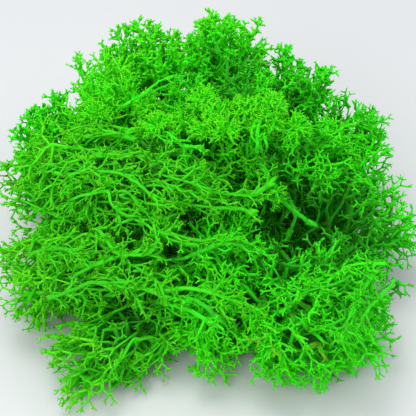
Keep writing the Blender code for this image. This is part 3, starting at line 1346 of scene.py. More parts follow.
@dataclass
class StalkSizes:
    """The thickness and the forms of stalks, in mm unless a share.

    Attributes:
        tip_radius: Half the thickness of a last twig.
        swelling: The power of the number of tips with which the radius grows.
        waist: Thickness half way between forks, as a share.
        flare_wide: Width at a fork, as a share.
        flare_thick: Thickness at a fork, as a share.
        evening: How much less thick stalks widen at a fork, for each doubling.
        kink: How far a stretch's middle strays, as a share of its length.
    """

    tip_radius: float = 0.42
    swelling: float = 0.18
    waist: float = 0.92
    flare_wide: float = 1.75
    flare_thick: float = 1.02
    evening: float = 0.16
    kink: float = 0.065

    def radius(self, size: Array) -> Array:
        """The radius of a stretch: the tip radius times its tips to a power."""
        return self.tip_radius * np.maximum(size, 1) ** self.swelling

    def sides(self, size: Array) -> Array:
        """How many sides a stalk's skin has: more where it carries more tips."""
        return np.select([size >= 16, size >= 4, size >= 2], [7, 6, 5], 4)


@dataclass(frozen=True)
class Order:
    """One order of branchlets in a sprig, lengths in mm and angles in degrees.

    Attributes:
        counts: How many branchlets may leave one end.
        chances: The chance of each of these counts.
        lean: Least and greatest angle from the direction of the end.
        length: Least and greatest length.
        bend: Least and greatest turn back to that direction, as a share.
        radii: Radius at each ring, from the base on.
        stops: Where the rings are, as shares of the length.
        sides: Sides of the skin.
        web: How much wider than thick a branchlet is at its base.
    """

    counts: Tuple[int, ...]
    chances: Tuple[float, ...]
    lean: Tuple[float, float]
    length: Tuple[float, float]
    bend: Tuple[float, float]
    radii: Tuple[float, ...]
    stops: Tuple[float, ...]
    sides: int
    web: float


ARMS = Order((2, 3), (0.85, 0.15), (34.0, 60.0), (2.0, 3.1), (0.10, 0.45),
             (0.46, 0.39, 0.37), (0.0, 0.5, 1.0), 4, 1.85)
FORKS = Order((2, 3), (0.90, 0.10), (36.0, 62.0), (1.5, 2.4), (0.05, 0.40),
              (0.38, 0.33, 0.32), (0.0, 0.5, 1.0), 3, 1.80)
FINGERS = Order((2, 3), (0.85, 0.15), (32.0, 60.0), (0.9, 1.6), (0.0, 0.30),
                (0.33, 0.29), (0.0, 0.8), 3, 1.60)
PRONGS = Order((2, 3), (0.85, 0.15), (24.0, 56.0), (0.45, 0.9), (0.0, 0.0),
               (0.28,), (0.0,), 3, 1.0)
SHORT_ARMS = Order((2, 3), (0.50, 0.50), (38.0, 70.0), (1.5, 2.6), (0.05, 0.35),
                   (0.56, 0.50, 0.48), (0.0, 0.5, 1.0), 3, 1.80)
SHORT_FORKS = Order((2, 3), (0.70, 0.30), (36.0, 70.0), (1.0, 1.8), (0.0, 0.30),
                    (0.48, 0.42), (0.0, 0.85), 3, 1.70)
KNOBS = Order((2, 3), (0.70, 0.30), (30.0, 64.0), (0.45, 0.9), (0.0, 0.0),
              (0.38,), (0.0,), 3, 1.0)
NET_ARMS = Order((2, 3), (0.90, 0.10), (32.0, 56.0), (2.6, 4.0), (0.10, 0.45),
                 (0.48, 0.41, 0.39), (0.0, 0.5, 1.0), 4, 1.90)
NET_FORKS = Order((2, 3), (0.95, 0.05), (36.0, 60.0), (1.9, 2.9), (0.05, 0.40),
                  (0.40, 0.35, 0.34), (0.0, 0.5, 1.0), 3, 1.85)
OLD_ARMS = Order((2, 3), (0.60, 0.40), (30.0, 76.0), (3.5, 6.5), (0.0, 0.30),
                 (0.85, 0.72, 0.66), (0.0, 0.5, 1.0), 4, 1.40)
OLD_ENDS = Order((2, 3), (0.60, 0.40), (24.0, 66.0), (1.6, 3.2), (0.0, 0.0),
                 (0.55,), (0.0,), 3, 1.0)
SPLINTERS = Order((3, 4), (0.50, 0.50), (6.0, 26.0), (2.0, 4.2), (0.0, 0.10),
                  (0.85, 0.80, 0.62), (0.0, 0.5, 1.0), 5, 1.50)
SHREDS = Order((1, 2, 3), (0.20, 0.50, 0.30), (14.0, 58.0), (0.5, 1.5), (0.0, 0.0),
               (0.42,), (0.0,), 3, 1.0)
TWIGS = Order((1,), (1.0,), (6.0, 48.0), (1.4, 2.6), (0.0, 0.35),
              (0.38, 0.33), (0.0, 0.9), 3, 1.60)
BRANCHES = Order((1,), (1.0,), (2.0, 16.0), (2.4, 4.8), (0.0, 0.20),
                 (0.50, 0.40), (0.0, 0.95), 4, 1.70)
HEAD_STEMS = Order((1,), (1.0,), (0.0, 10.0), (1.8, 3.0), (0.0, 0.10),
                   (0.60, 0.50), (0.0, 0.9), 4, 1.30)
HEAD_ARMS = Order((2, 3), (0.60, 0.40), (24.0, 50.0), (1.5, 2.4), (0.10, 0.40),
                  (0.46, 0.38), (0.0, 0.9), 4, 1.70)
YOUNG_SPRIG: Tuple[Order, ...] = (ARMS, FORKS, FINGERS, PRONGS)
CLOSE_SPRIG: Tuple[Order, ...] = (SHORT_ARMS, SHORT_FORKS, KNOBS)
NET_SPRIG: Tuple[Order, ...] = (NET_ARMS, NET_FORKS, FINGERS, PRONGS)
SIDE_SPRIG: Tuple[Order, ...] = (TWIGS, FINGERS, PRONGS)
BRANCH_SPRIG: Tuple[Order, ...] = (BRANCHES, FORKS, FINGERS, PRONGS)
HEAD_SPRIG: Tuple[Order, ...] = (HEAD_STEMS, HEAD_ARMS, FINGERS, PRONGS)
OLD_SPRIG: Tuple[Order, ...] = (OLD_ARMS, OLD_ENDS)
TORN_END: Tuple[Order, ...] = (SPLINTERS, SHREDS)
END_SPRIGS: Dict[StrandEnd, Tuple[Order, ...]] = {
    StrandEnd.TORN: TORN_END,
    StrandEnd.FORKED: NET_SPRIG,
}


@dataclass(frozen=True)
class Zone:
    """Depths between which sprigs start, their spacing and their greatest height, in mm."""

    shallow: float
    deep: float
    spacing: float
    ceiling: float = 99.0


@dataclass(frozen=True)
class Layer:
    """Stalks of one age in a tuft.

    Attributes:
        zones: Where its sprigs start.
        stem_share: How many stems it has, as a share of the tuft's.
        sprig: The orders of its sprigs.
        tip_radius: Half the thickness of the stalks that carry one sprig, in mm.
        flatness: How strictly its sprigs fork along the open surface, 0 to 1.
        outer: Whether it is the layer that lies open.
    """

    zones: Tuple[Zone, ...]
    stem_share: float
    sprig: Tuple[Order, ...]
    tip_radius: float
    flatness: float
    outer: bool

    def reach(self) -> float:
        """The length of a long sprig in mm: its orders' greatest lengths and half their bends."""
        return sum(order.length[1] * (1.0 + order.bend[1] / 2.0) for order in self.sprig)


OPEN_LAYERS: Dict[Habit, Layer] = {
    Habit.UPRIGHT: Layer((Zone(2.6, 8.0, 4.85),), 1.0, YOUNG_SPRIG, 0.42, 0.50, True),
    Habit.CLOSE: Layer((Zone(1.2, 6.6, 4.30),), 1.0, CLOSE_SPRIG, 0.44, 0.0, True),
    Habit.LYING: Layer((Zone(1.6, 6.8, 5.75),), 1.0, NET_SPRIG, 0.46, 0.80, True),
    Habit.LEANING: Layer((Zone(2.4, 7.4, 5.35),), 1.0, NET_SPRIG, 0.44, 0.70, True),
}
OLD_LAYER = Layer((Zone(6.0, 14.0, 6.1), Zone(14.0, 99.0, 9.0), Zone(5.0, 99.0, 6.4, 12.0)),
                  0.6, OLD_SPRIG, 0.62, 0.0, False)


@dataclass
class Ends:
    """Ends of branchlets, or places along them, from which the next order leaves.

    Attributes:
        place: Where they are, in mm.
        ahead: Unit vectors of their direction.
        across: The way in which they fork by choice.
        shade: Their brightness.
        tone: Their tone.
    """

    place: Array
    ahead: Array
    across: Array
    shade: Array
    tone: Array

    def pick(self, chosen: Array) -> "Ends":
        """Keep only the chosen ones."""
        return Ends(self.place[chosen], self.ahead[chosen], self.across[chosen],
                    self.shade[chosen], self.tone[chosen])


@dataclass
class StalkSkinner:
    """Turns a tuft's forked plan into tubes.

    Attributes:
        forks: The plan.
        depth: How deep the head of each stretch lies in the heap, in mm, with the hollows' painted
            shade added as depth.
        tone: The tone of each stretch.
        rng: The lot.
        sizes: Stalk sizes.
        light: The tuft's painted light and shade, as a share of its stalks' brightness.
        nodes: Places along the skinned stalks between their forks.
    """

    forks: Forks
    depth: Array
    tone: Array
    rng: Lot
    sizes: StalkSizes = field(default_factory=StalkSizes)
    light: float = 1.0
    nodes: List[Ends] = field(default_factory=list)

    # SHADE_DEPTH sets how fast painted shade darkens stalk colour with depth; OLD_LIGHT and
    # YOUNG_LIGHT draw thick stalks darker, partly as older stalks, partly as painted shade; STEM_DEPTH
    # draws a stem's foot darker the same way.
    SHADE_DEPTH = 6.2
    OLDEST_DOUBLINGS = 6.0
    OLD_LIGHT = 0.82
    YOUNG_LIGHT = 0.18
    OPENING = 0.60
    CLOSING = 0.15
    ARRIVAL_STRAY = 0.12
    START_WIDTH = 1.08
    TIP_WIDTH = 0.80
    WIDTH_LOT = (0.93, 1.08)
    POINT_LENGTH = 1.4
    STEM_DEPTH = 4.0

    def brightness(self, depth: Array, size: Array) -> Array:
        """The painted shade of a stalk: its colour darkens with depth and with thickness.

        The first factor is e to the power of minus depth over the shade depth: painted
        shade deep in the heap, partly also its darker old stalks. The second goes from 1
        at a tip to the old light at a stem of 64 tips: partly older stalks, partly
        painted shade on thick stalks.

        Args:
            depth: How deep it lies, in mm.
            size: How many tips it carries.

        Returns:
            The shade, from 0 up.
        """
        unshaded_share = np.exp(-depth / self.SHADE_DEPTH)
        youth = 1.0 - np.clip(np.log2(np.maximum(size, 1)) / self.OLDEST_DOUBLINGS, 0.0, 1.0)
        return unshaded_share * (self.OLD_LIGHT + self.YOUNG_LIGHT * youth) * self.light

    def partings(self, way: Array) -> Array:
        """How each stretch turns away from the one that leaves the same fork.

        It is the unit vector of the difference of their ways, times twice the share
        of the fork's tips that the other one carries.

        Args:
            way: Headings of all stretches.

        Returns:
            A vector for each stretch, zero for the stems.
        """
        forks = self.forks
        parting = np.zeros_like(way)
        fork = np.flatnonzero(forks.main >= 0)
        main, side = forks.main[fork], forks.side[fork]
        apart = unit(way[main] - way[side])
        share = (forks.size[side] / forks.size[fork])[:, None]
        parting[main] = apart * 2.0 * share
        parting[side] = -apart * 2.0 * (1.0 - share)
        return parting

    def fork_normals(self) -> Array:
        """The direction square to the plane in which each head forks.

        Returns:
            Unit vectors. At tips, which don't fork, they are drawn by lot.
        """
        forks = self.forks
        way = forks.heading()
        lone = forks.main < 0
        normal = np.cross(way[forks.main], way[forks.side])
        normal[lone] = self.rng.normal(0.0, 1.0, (int(lone.sum()), 3))
        return square_to(normal, way)

    def chains(self) -> List[Array]:
        """Follow every stalk from where it leaves its parent to its tip.

        Returns:
            For each number of stretches, the rows of stretches, chain by stretch.
        """
        forks = self.forks
        is_main = np.zeros(len(forks.size), bool)
        is_main[forks.main[forks.main >= 0]] = True
        now = np.flatnonzero(~is_main)
        path = [now]
        while True:
            now = np.where(now >= 0, forks.main[now], -1)
            if not (now >= 0).any():
                break
            path.append(now)
        table = np.column_stack(path)
        length = (table >= 0).sum(1)
        return [table[length == steps][:, :steps] for steps in np.unique(length)]

    def skin(self, stock: MeshStock) -> None:
        """Skin every chain, with more sides where it is thicker.

        Args:
            stock: What takes the tubes.
        """
        normals = self.fork_normals()
        way = self.forks.heading()
        parting = self.partings(way)
        for chain in self.chains():
            sides = self.sizes.sides(self.forks.size[chain[:, 0]])
            for count in np.unique(sides):
                rows = chain[sides == count]
                steps = 3 if count > 4 else 2
                stock.add(self.tubes(rows, way, parting, normals, steps), int(count))

    def tubes(self, chain: Array, way: Array, parting: Array, normals: Array, steps: int) -> Tubes:
        """Carry rings along chains of the same number of stretches.

        Args:
            chain: Stretch numbers, chain by stretch.
            way: Headings of all stretches.
            parting: How each stretch turns away from the other one of its fork.
            normals: Fork normals of all stretches.
            steps: Rings from one fork to the next.

        Returns:
            The tubes. The rings between forks are kept as nodes.
        """
        line, tangent = self.courses(chain, way, parting, steps)
        stop = np.arange(line.shape[1]) / steps
        through = square_to(between_knots(self.planes(chain, normals), stop), tangent)
        across = np.cross(through, tangent)
        radius, wide, thick = self.widths(self.forks.size[chain], stop)
        shade = between_knots(self.knot_shades(chain), stop)
        tone = self.tone[chain[:, -1]]
        between = np.flatnonzero(np.arange(len(stop)) % steps)
        self.nodes.append(Ends(line[:, between].reshape(-1, 3),
                               tangent[:, between].reshape(-1, 3),
                               across[:, between].reshape(-1, 3),
                               shade[:, between].ravel(), np.repeat(tone, len(between))))
        return Tubes(line, across, through, wide, thick, shade, tone,
                     radius[:, -1] * self.POINT_LENGTH)

    def courses(self, chain: Array, way: Array, parting: Array, steps: int) -> Tuple[Array, Array]:
        """Lead the centre lines of chains from fork to fork.

        Each stretch is a cubic that leaves its fork turned away from the other
        branch, and bends back before it ends, so that forks are open bows. Its
        slope has the derivatives of the cubic's weights as weights.

        Args:
            chain: Stretch numbers, chain by stretch.
            way: Headings of all stretches.
            parting: How each stretch turns away from the other one of its fork.
            steps: Rings from one fork to the next.

        Returns:
            Ring centres and unit tangents, chain by ring by xyz.
        """
        count, length = chain.shape
        knots = np.concatenate((self.forks.foot[chain[:, :1]], self.forks.head[chain]), axis=1)
        span = np.linalg.norm(knots[:, 1:] - knots[:, :-1], axis=2, keepdims=True)
        turned = parting[chain]
        from_fork = unit(way[chain] + turned * self.OPENING)
        to_fork = unit(way[chain] - turned * self.CLOSING
                       + self.rng.normal(0.0, self.ARRIVAL_STRAY, turned.shape))
        part = (np.arange(steps) / steps)[None, None, :, None]
        start, end = knots[:, :-1, None], knots[:, 1:, None]
        leave, arrive = (from_fork * span)[:, :, None], (to_fork * span)[:, :, None]
        line = bow(start, leave, end, arrive, part)
        square = part ** 2
        tangent = (start * (6 * square - 6 * part) + leave * (3 * square - 4 * part + 1)
                   + end * (6 * part - 6 * square) + arrive * (3 * square - 2 * part))
        kink = self.rng.normal(0.0, self.sizes.kink, line.shape) * span[:, :, None]
        kink *= (part > 0.0)
        line = (line + kink).reshape(count, length * steps, 3)
        tangent[:, 1:, 0] = to_fork[:, :-1] + from_fork[:, 1:]
        tangent = tangent.reshape(count, length * steps, 3)
        return (np.concatenate((line, knots[:, -1:]), axis=1),
                unit(np.concatenate((tangent, to_fork[:, -1:]), axis=1)))

    def planes(self, chain: Array, normals: Array) -> Array:
        """The thin way of chains at their knots, turned over where it would flip.

        Args:
            chain: Stretch numbers, chain by stretch.
            normals: Fork normals of all stretches.

        Returns:
            Unit vectors, chain by knot by xyz.
        """
        parent = self.forks.parent[chain[:, 0]]
        first = np.where(parent[:, None] < 0, normals[chain[:, 0]], normals[parent])
        plane = np.concatenate((first[:, None], normals[chain]), axis=1)
        plane[:, -1] = plane[:, -2]
        flip = np.sign((plane[:, 1:] * plane[:, :-1]).sum(2))
        flip = np.cumprod(np.where(flip < 0, -1.0, 1.0), axis=1)
        plane[:, 1:] *= flip[:, :, None]
        return plane

    def widths(self, size: Array, stop: Array) -> Tuple[Array, Array, Array]:
        """How wide and thick the rings are: slim half way between two forks.

        Args:
            size: How many tips each stretch carries, chain by stretch.
            stop: Where the rings are, in stretches from the chain's start.

        Returns:
            Radii, half widths and half thicknesses in mm, chain by ring.
        """
        radius = self.sizes.radius(size)
        knot_radius = np.column_stack((radius[:, 0] * self.START_WIDTH,
                                       (radius[:, :-1] + radius[:, 1:]) / 2.0,
                                       radius[:, -1] * self.TIP_WIDTH))
        along = between_knots(knot_radius, stop)
        at_fork = np.abs(2.0 * (stop - np.floor(stop)) - 1.0)
        at_fork[-1] = 0.0
        stretch = np.minimum(stop.astype(int), size.shape[1] - 1)
        slim = 1.0 / (1.0 + self.sizes.evening * np.log2(size[:, stretch]))
        flare = (self.sizes.flare_wide - self.sizes.waist) * at_fork * slim
        wide = along * (self.sizes.waist + flare)
        thick = along * (self.sizes.waist + (self.sizes.flare_thick - self.sizes.waist) * at_fork)
        return along, wide * self.rng.uniform(*self.WIDTH_LOT, wide.shape), thick

    def knot_shades(self, chain: Array) -> Array:
        """How bright chains are at their knots.

        Args:
            chain: Stretch numbers, chain by stretch.

        Returns:
            The shades, chain by knot. Stems start deeper than their first head.
        """
        parent = self.forks.parent[chain[:, 0]]
        size = self.forks.size[chain]
        depth = self.depth[chain]
        start_depth = np.where(parent < 0, depth[:, 0] + self.STEM_DEPTH, self.depth[parent])
        return self.brightness(np.concatenate((start_depth[:, None], depth), axis=1),
                               np.concatenate((size[:, :1], size), axis=1))


@dataclass
class SprigGrower:
    """Grows the bushy ends of stalks, one order of branchlets after another.

    Attributes:
        rng: The lot.
        stock: What takes the tubes.
        flatness: How strictly they fork in the way of their ends' choice, 0 to 1.
        light: The greatest brightness, the tuft's painted light at most 1.
    """

    rng: Lot
    stock: MeshStock
    flatness: float = 0.0
    light: float = 1.0

    CHOICE = 3.0
    # BRIGHTENING draws each order brighter towards its tips: the young tips' own paler green, partly
    # also painted light. OPEN_SHADE keeps sprigs in the painted shade from brightening much.
    BRIGHTENING = 0.11
    OPEN_SHADE = 0.33
    TURN_STRAY = 0.2
    BEND_STRAY = 0.14
    GROUNDED_RISE = 0.5
    ROOT_DEPTH = 0.12
    RADIUS_LOT = (0.85, 1.18)

    def grow(self, ends: Ends, orders: Sequence[Order]) -> None:
        """Grow all orders on the given ends."""
        for order in orders:
            ends = self.spread(ends, order)

    def ways(self, ends: Ends, order: Order) -> Tuple[Array, Array, Array, Array]:
        """Which way branchlets of one order leave, evenly turned around every end.

        Args:
            ends: Where they leave.
            order: Their order.

        Returns:
            For each branchlet, the number of its end, the way from which the turns
            around the end are counted, its leaving direction, and the way round.
        """
        rng = self.rng
        total = len(ends.place)
        count = rng.choice(order.counts, total, p=order.chances)
        row = np.repeat(np.arange(total), count)
        place = np.arange(len(row)) - np.repeat(np.cumsum(count) - count, count)
        turn = rng.uniform(-math.pi, math.pi, total)[row] * (1.0 - self.flatness)
        place = place + rng.uniform(-self.TURN_STRAY, self.TURN_STRAY, len(row))
        turn = turn + place * 2.0 * math.pi / count[row]
        lean = np.radians(rng.uniform(*order.lean, (len(row), 1)))
        choice = ends.across * self.flatness * self.CHOICE
        out = square_to(choice + rng.normal(0.0, 1.0, (total, 3)), ends.ahead)[row]
        ahead = ends.ahead[row]
        aside = np.cross(ahead, out)
        cos_turn, sin_turn = np.cos(turn)[:, None], np.sin(turn)[:, None]
        outward = out * cos_turn + aside * sin_turn
        leave = ahead * np.cos(lean) + outward * np.sin(lean)
        return row, out, leave, aside * cos_turn - out * sin_turn

    def spread(self, ends: Ends, order: Order) -> Ends:
        """Let branchlets of one order leave every end.

        A branchlet's line is the end's place plus its leaving direction times the
        length times the share of the way, plus its bend times the length times
        the square of that share. It is wide along the circle around the end, so
        that neighbours meet in a web.

        Args:
            ends: Where they leave.
            order: Their order.

        Returns:
            Their own ends.
        """
        rng = self.rng
        row, out, leave, round_way = self.ways(ends, order)
        ahead = ends.ahead[row]
        bend = ahead * rng.uniform(*order.bend, (len(row), 1))
        bend = bend + rng.normal(0.0, self.BEND_STRAY, bend.shape)
        length = rng.uniform(*order.length, len(row))
        fall = ends.place[row, 2] + (leave + bend)[:, 2] * length
        grounded = fall < GROUND_CLEARANCE
        leave[grounded, 2] = np.abs(leave[grounded, 2]) * self.GROUNDED_RISE
        bend[grounded, 2] = np.abs(bend[grounded, 2])

        part = np.array(order.stops)[None, :, None]
        reach = length[:, None, None]
        base = (ends.place[row] - ahead * self.ROOT_DEPTH)[:, None]
        line = base + (leave[:, None] * part + bend[:, None] * part ** 2) * reach
        tangent = unit(leave[:, None] + 2.0 * bend[:, None] * part)
        across = square_to(np.repeat(round_way[:, None], len(order.stops), axis=1), tangent)
        through = np.cross(tangent, across)
        thick = np.array(order.radii) * rng.uniform(*self.RADIUS_LOT, (len(row), 1))
        web = np.linspace(order.web, 1.0, len(order.stops))
        rise = self.BRIGHTENING * np.minimum(ends.shade[row] / self.OPEN_SHADE, 1.0)
        shade = np.minimum(ends.shade[row] + rise, self.light)
        glow = ends.shade[row, None] + (shade - ends.shade[row])[:, None] * np.array(order.stops)
        left = length * (1.0 - order.stops[-1]) + thick[:, -1]
        self.stock.add(Tubes(line, across, through, thick * web, thick, glow,
                             ends.tone[row], left), order.sides)
        tip = base[:, 0] + (leave + bend) * length[:, None]
        return Ends(tip, unit(leave + 2.0 * bend), out, shade, ends.tone[row])


@dataclass
class StrandLine:
    """A stout stalk as it lies on its tuft, ring by ring.

    Attributes:
        centre: Ring centres in mm.
        heading: Unit vectors along it.
        outward: Unit vectors to the open air.
        across: Unit vectors of its wide way.
        through: Unit vectors of its thin way.
        wide: Half widths in mm.
        shade: How bright its colour is drawn, darker where it sinks: painted shade.
        tone: Its tone.
    """

    centre: Array
    heading: Array
    outward: Array
    across: Array
    through: Array
    wide: Array
    shade: Array
    tone: Array


@dataclass
class StrandLayer:
    """Lays the stout stalks on a tuft.

    Attributes:
        heap: All tufts.
        grower: What grows their branches. It has the lot, and takes the tubes.
    """

    heap: Heap
    grower: SprigGrower

    FLATNESS = 0.52
    SIDES = 7
    BRANCH_SHARES = (0.62, 0.52)
    BRANCH_LEAN = (0.4, 1.1)
    BRANCH_RISE = 0.2
    BRANCH_STRAY = 0.28
    WOBBLE = 0.10
    WIDTH_LOT = (0.74, 1.02)
    POINT = 0.8
    UPTURN = (0.0, 0.0, 0.6)
    LIFT = 0.5
    SWING_RINGS = (5.0, 11.0)
    SWING_START = (0.0, 6.0)
    SWING_WIDTH = (1.8, 3.4)
    COMPANION_WIDTH = (0.38, 0.60)
    COMPANION_DEPTH = 0.9
    # COMPANION_DIMMING and SINK_DIMMING draw the companions and the sunk ends darker: painted shade
    # under other stalks.
    COMPANION_DIMMING = 0.10
    SINK_RINGS = 4.0
    SINK_DEPTH = 4.5
    SINK_DIMMING = 0.3
    DIMMEST = 0.04

    def lay(self, strands: Sequence[Strand]) -> None:
        """Lay stout stalks with their companions and what they come to.

        Args:
            strands: The stalks.
        """
        for strand in strands:
            line = self.line_of(strand)
            self.skin(line, strand.branches, 0)
            for _ in range(strand.companions):
                self.skin(self.companion(line), strand.branches, 1)
            tip = Ends(line.centre[-1:], line.heading[-1:], line.across[-1:], line.shade[-1:],
                       line.tone[-1:])
            self.grower.grow(tip, END_SPRIGS.get(strand.end, ()))

    def line_of(self, strand: Strand) -> StrandLine:
        """Lay a stout stalk's curve on the tuft, wide along the open surface.

        Its ends sink into the tuft by the square of how near they are, unless
        they show, and their colour is drawn darker there as painted shade.

        Args:
            strand: The stalk.

        Returns:
            Its line.
        """
        line, heading, wide = strand.curve()
        outward = unit(self.heap.nearest_open(line)[1] + self.UPTURN)
        outward[1:-1] = unit(outward[:-2] + outward[1:-1] + outward[2:])
        stop = np.arange(len(line))
        sink = np.clip(1.0 - stop / self.SINK_RINGS, 0.0, 1.0) ** 2 * strand.sunk
        if strand.end is StrandEnd.BURIED:
            sink = sink + np.clip(1.0 - stop[::-1] / self.SINK_RINGS, 0.0, 1.0) ** 2
        line = line + outward * (self.LIFT - sink * self.SINK_DEPTH)[:, None]
        through = square_to(outward, heading)
        shade = np.clip(strand.shade - self.SINK_DIMMING * sink, self.DIMMEST, 1.0)
        return StrandLine(line, heading, outward, np.cross(through, heading), through, wide,
                          shade, np.full(len(line), strand.tone))

    def companion(self, line: StrandLine) -> StrandLine:
        """A thin stalk that weaves beside a stout one, a little below it.

        Args:
            line: The stout stalk's line.

        Returns:
            The thin one's line.
        """
        rng = self.grower.rng
        turn = np.arange(len(line.wide)) * math.pi / rng.uniform(*self.SWING_RINGS)
        swing = np.sin(turn + rng.uniform(*self.SWING_START)) * rng.uniform(*self.SWING_WIDTH)
        centre = line.centre + line.across * swing[:, None] - line.outward * self.COMPANION_DEPTH
        wide = rng.uniform(*self.COMPANION_WIDTH) * (0.5 + 0.5 * line.wide)
        return replace(line, centre=centre, wide=wide)

    def skin(self, line: StrandLine, branches: float, rank: int) -> None:
        """Skin a stout stalk or its companion, and let branches leave to both sides.

        Args:
            line: Its line.
            branches: How many of its rings bear a branch, as a share.
            rank: 0 for the stout stalk, 1 for its companion.
        """
        rng = self.grower.rng
        rings = len(line.wide)
        centre = line.centre + rng.normal(0.0, self.WOBBLE, line.centre.shape)
        wide = line.wide * rng.uniform(*self.WIDTH_LOT, rings)
        tubes = Tubes(centre[None], line.across[None], line.through[None], wide[None],
                      wide[None] * self.FLATNESS,
                      line.shade[None] - self.COMPANION_DIMMING * rank, line.tone[:1],
                      wide[-1:] * self.POINT)
        self.grower.stock.add(tubes, self.SIDES - rank)
        side = line.across * np.where(rng.random(rings) < 0.5, -1.0, 1.0)[:, None]
        ahead = unit(line.heading + side * rng.uniform(*self.BRANCH_LEAN, (rings, 1))
                     + line.outward * self.BRANCH_RISE
                     + rng.normal(0.0, self.BRANCH_STRAY, side.shape))
        ends = Ends(centre, ahead, unit(np.cross(line.outward, ahead)), line.shade, line.tone)
        bearing = rng.random(rings) < branches * self.BRANCH_SHARES[rank]
        self.grower.grow(ends.pick(bearing), BRANCH_SPRIG)


@dataclass
class Tuft:
    """One tuft: its sprigs, its stalks and its mesh.

    Attributes:
        plan: What the source says of it.
        envelope: Its solid.
        heap: All tufts.
        crowns: The tops of its rounded heads, in mm.
        stock: What takes its tubes.
        rng: Its lot.
    """

    plan: TuftPlan
    envelope: Envelope
    heap: Heap
    crowns: Array
    stock: MeshStock = field(default_factory=MeshStock)
    rng: Lot = field(init=False)

    # Sprigs and side twigs
    CONTACT_INSET = 0.6
    GROUND_SPACING = 5.6
    GROUND_HEIGHTS = (2.0, 11.0)
    PLY_CLEARANCE = 10.0
    OVERHANG = 0.036
    DIMMEST_TWIG = 0.22
    CROWN_DEPTH = 9.0
    LOWEST_SPRIG = 2.0
    FULL_AHEAD = 1.3
    VALLEY_LOT = (0.4, 1.4)
    SPRIG_STRAY = 0.20
    TWIG_STRAY = 0.45
    TWIG_AHEAD = 0.55
    TWIG_OUTWARD = 0.75
    JITTER = 0.40
    # The tones of stalks
    TONE_PERIODS = (34.0, 19.0, 11.0)
    TONE_MIDDLE = 0.45
    TONE_WAVE = 0.22
    TONE_STRAY = 0.13
    TONE_RANGE = (0.03, 0.86)
    OLIVE_SHARE = 0.004
    OLIVE_TONES = (0.90, 0.94)
    # Stout stalks and round heads
    STRAND_CLEARANCE = 4.8
    UNDER_STRAND_SHARE = 0.42
    BRANCH_FLATNESS = 0.60
    HEAD_CLEARANCE = 4.8
    HEAD_CORE = 0.5
    HEAD_STRAY = 0.14

    def __post_init__(self) -> None:
        """Start the lot from the plan's seed."""
        self.rng = np.random.default_rng(self.plan.seed)

    def growth(self) -> Array:
        """Unit vector of the tuft's growth."""
        return unit(np.array(self.plan.growth, float))

    def lattice(self, spacing: float) -> Array:
        """Points on a cubic lattice over the tuft's box, each moved by a lot.

        Args:
            spacing: Lattice spacing in mm.

        Returns:
            The points.
        """
        shift = self.rng.random(3) * spacing
        lines = [np.arange(low - step, high, spacing) for low, high, step
                 in zip(self.envelope.low, self.envelope.high, shift)]
        grid = np.stack(np.meshgrid(*lines, indexing="ij"), axis=-1).reshape(-1, 3)
        return grid + self.rng.uniform(-self.JITTER, self.JITTER, grid.shape) * spacing

    def sprig_places(self, layer: Layer) -> Array:
        """Place the sprigs of one layer, close together where it lies open.

        Args:
            layer: The layer.

        Returns:
            Where the sprigs start, in mm.
        """
        places = np.concatenate([self.zone_places(zone, layer) for zone in layer.zones])
        if layer.outer:
            return self.thinned(places)
        return np.concatenate((places, self.ground_places()))

    def zone_places(self, zone: Zone, layer: Layer) -> Array:
        """Places for sprigs in one zone of depth, and in the room beside the solid.

        Args:
            zone: The zone.
            layer: The layer.

        Returns:
            Points in mm.
        """
        points = self.lattice(zone.spacing)
        points = points[(points[:, 2] > self.LOWEST_SPRIG) & (points[:, 2] < zone.ceiling)]
        for hollow in HOLLOWS:
            points = points[hollow.outside(points, layer.outer)]
        points = points[self.heap.clear_of_box(points, layer.reach(), self.OVERHANG)]
        beside = np.zeros(len(points), bool)
        for lump in self.plan.lumps:
            beside |= lump.holds(points)
        within = self.envelope.holds(points, self.CONTACT_INSET)
        depth = self.heap.nearest_open(points)[0]
        within &= (depth >= zone.shallow) & (depth < zone.deep)
        return points[within | beside & layer.outer & ~self.heap.held(points)]

    def thinned(self, places: Array) -> Array:
        """Leave out sprigs near the foot, in valleys, and by stout stalks and heads.

        Near the foot only some are left, so that the stalks show there.

        Args:
            places: Where sprigs may start.

        Returns:
            The places that are left.
        """
        sizes = HABIT_SIZES[self.plan.habit]
        growth = self.growth()
        along = (places - self.envelope.middle) @ growth
        back = self.envelope.reach(-growth[None, :])[0]
        ahead = np.clip(along / back + 1.0, 0.0, self.FULL_AHEAD) / self.FULL_AHEAD
        keep = self.rng.random(len(places)) < sizes.bare_share + (1.0 - sizes.bare_share) * ahead
        valley = sizes.valley * self.rng.uniform(*self.VALLEY_LOT, len(places))
        keep &= self.beside_valley(places) > valley
        keep &= self.beside_strands(places) | (self.rng.random(len(places)) < self.UNDER_STRAND_SHARE)
        return places[keep & self.beside_heads(places)]

    def beside_heads(self, places: Array) -> Array:
        """Which places are clear of the round heads."""
        middles = np.array([head.middle for plan in TUFTS for head in plan.heads])
        return clear_of(places, middles, self.HEAD_CLEARANCE)

    def grow_heads(self) -> None:
        """Let the round heads' stems fan out from their middles, each with a sprig."""
        grower = SprigGrower(self.rng, self.stock, 0.0, min(self.plan.light, 1.0))
        for head in self.plan.heads:
            way = head.ways()
            way = unit(way + self.rng.normal(0.0, self.HEAD_STRAY, way.shape))
            across = square_to(self.rng.normal(0.0, 1.0, way.shape), way)
            grower.grow(Ends(np.array(head.middle) + way * self.HEAD_CORE, way, across,
                             np.full(head.stems, head.shade), np.full(head.stems, head.tone)),
                        HEAD_SPRIG)

    def beside_strands(self, places: Array) -> Array:
        """Which places have no stout stalk close to them."""
        lines = [strand.curve()[0] for plan in TUFTS for strand in plan.strands]
        return clear_of(places, np.concatenate(lines), self.STRAND_CLEARANCE)

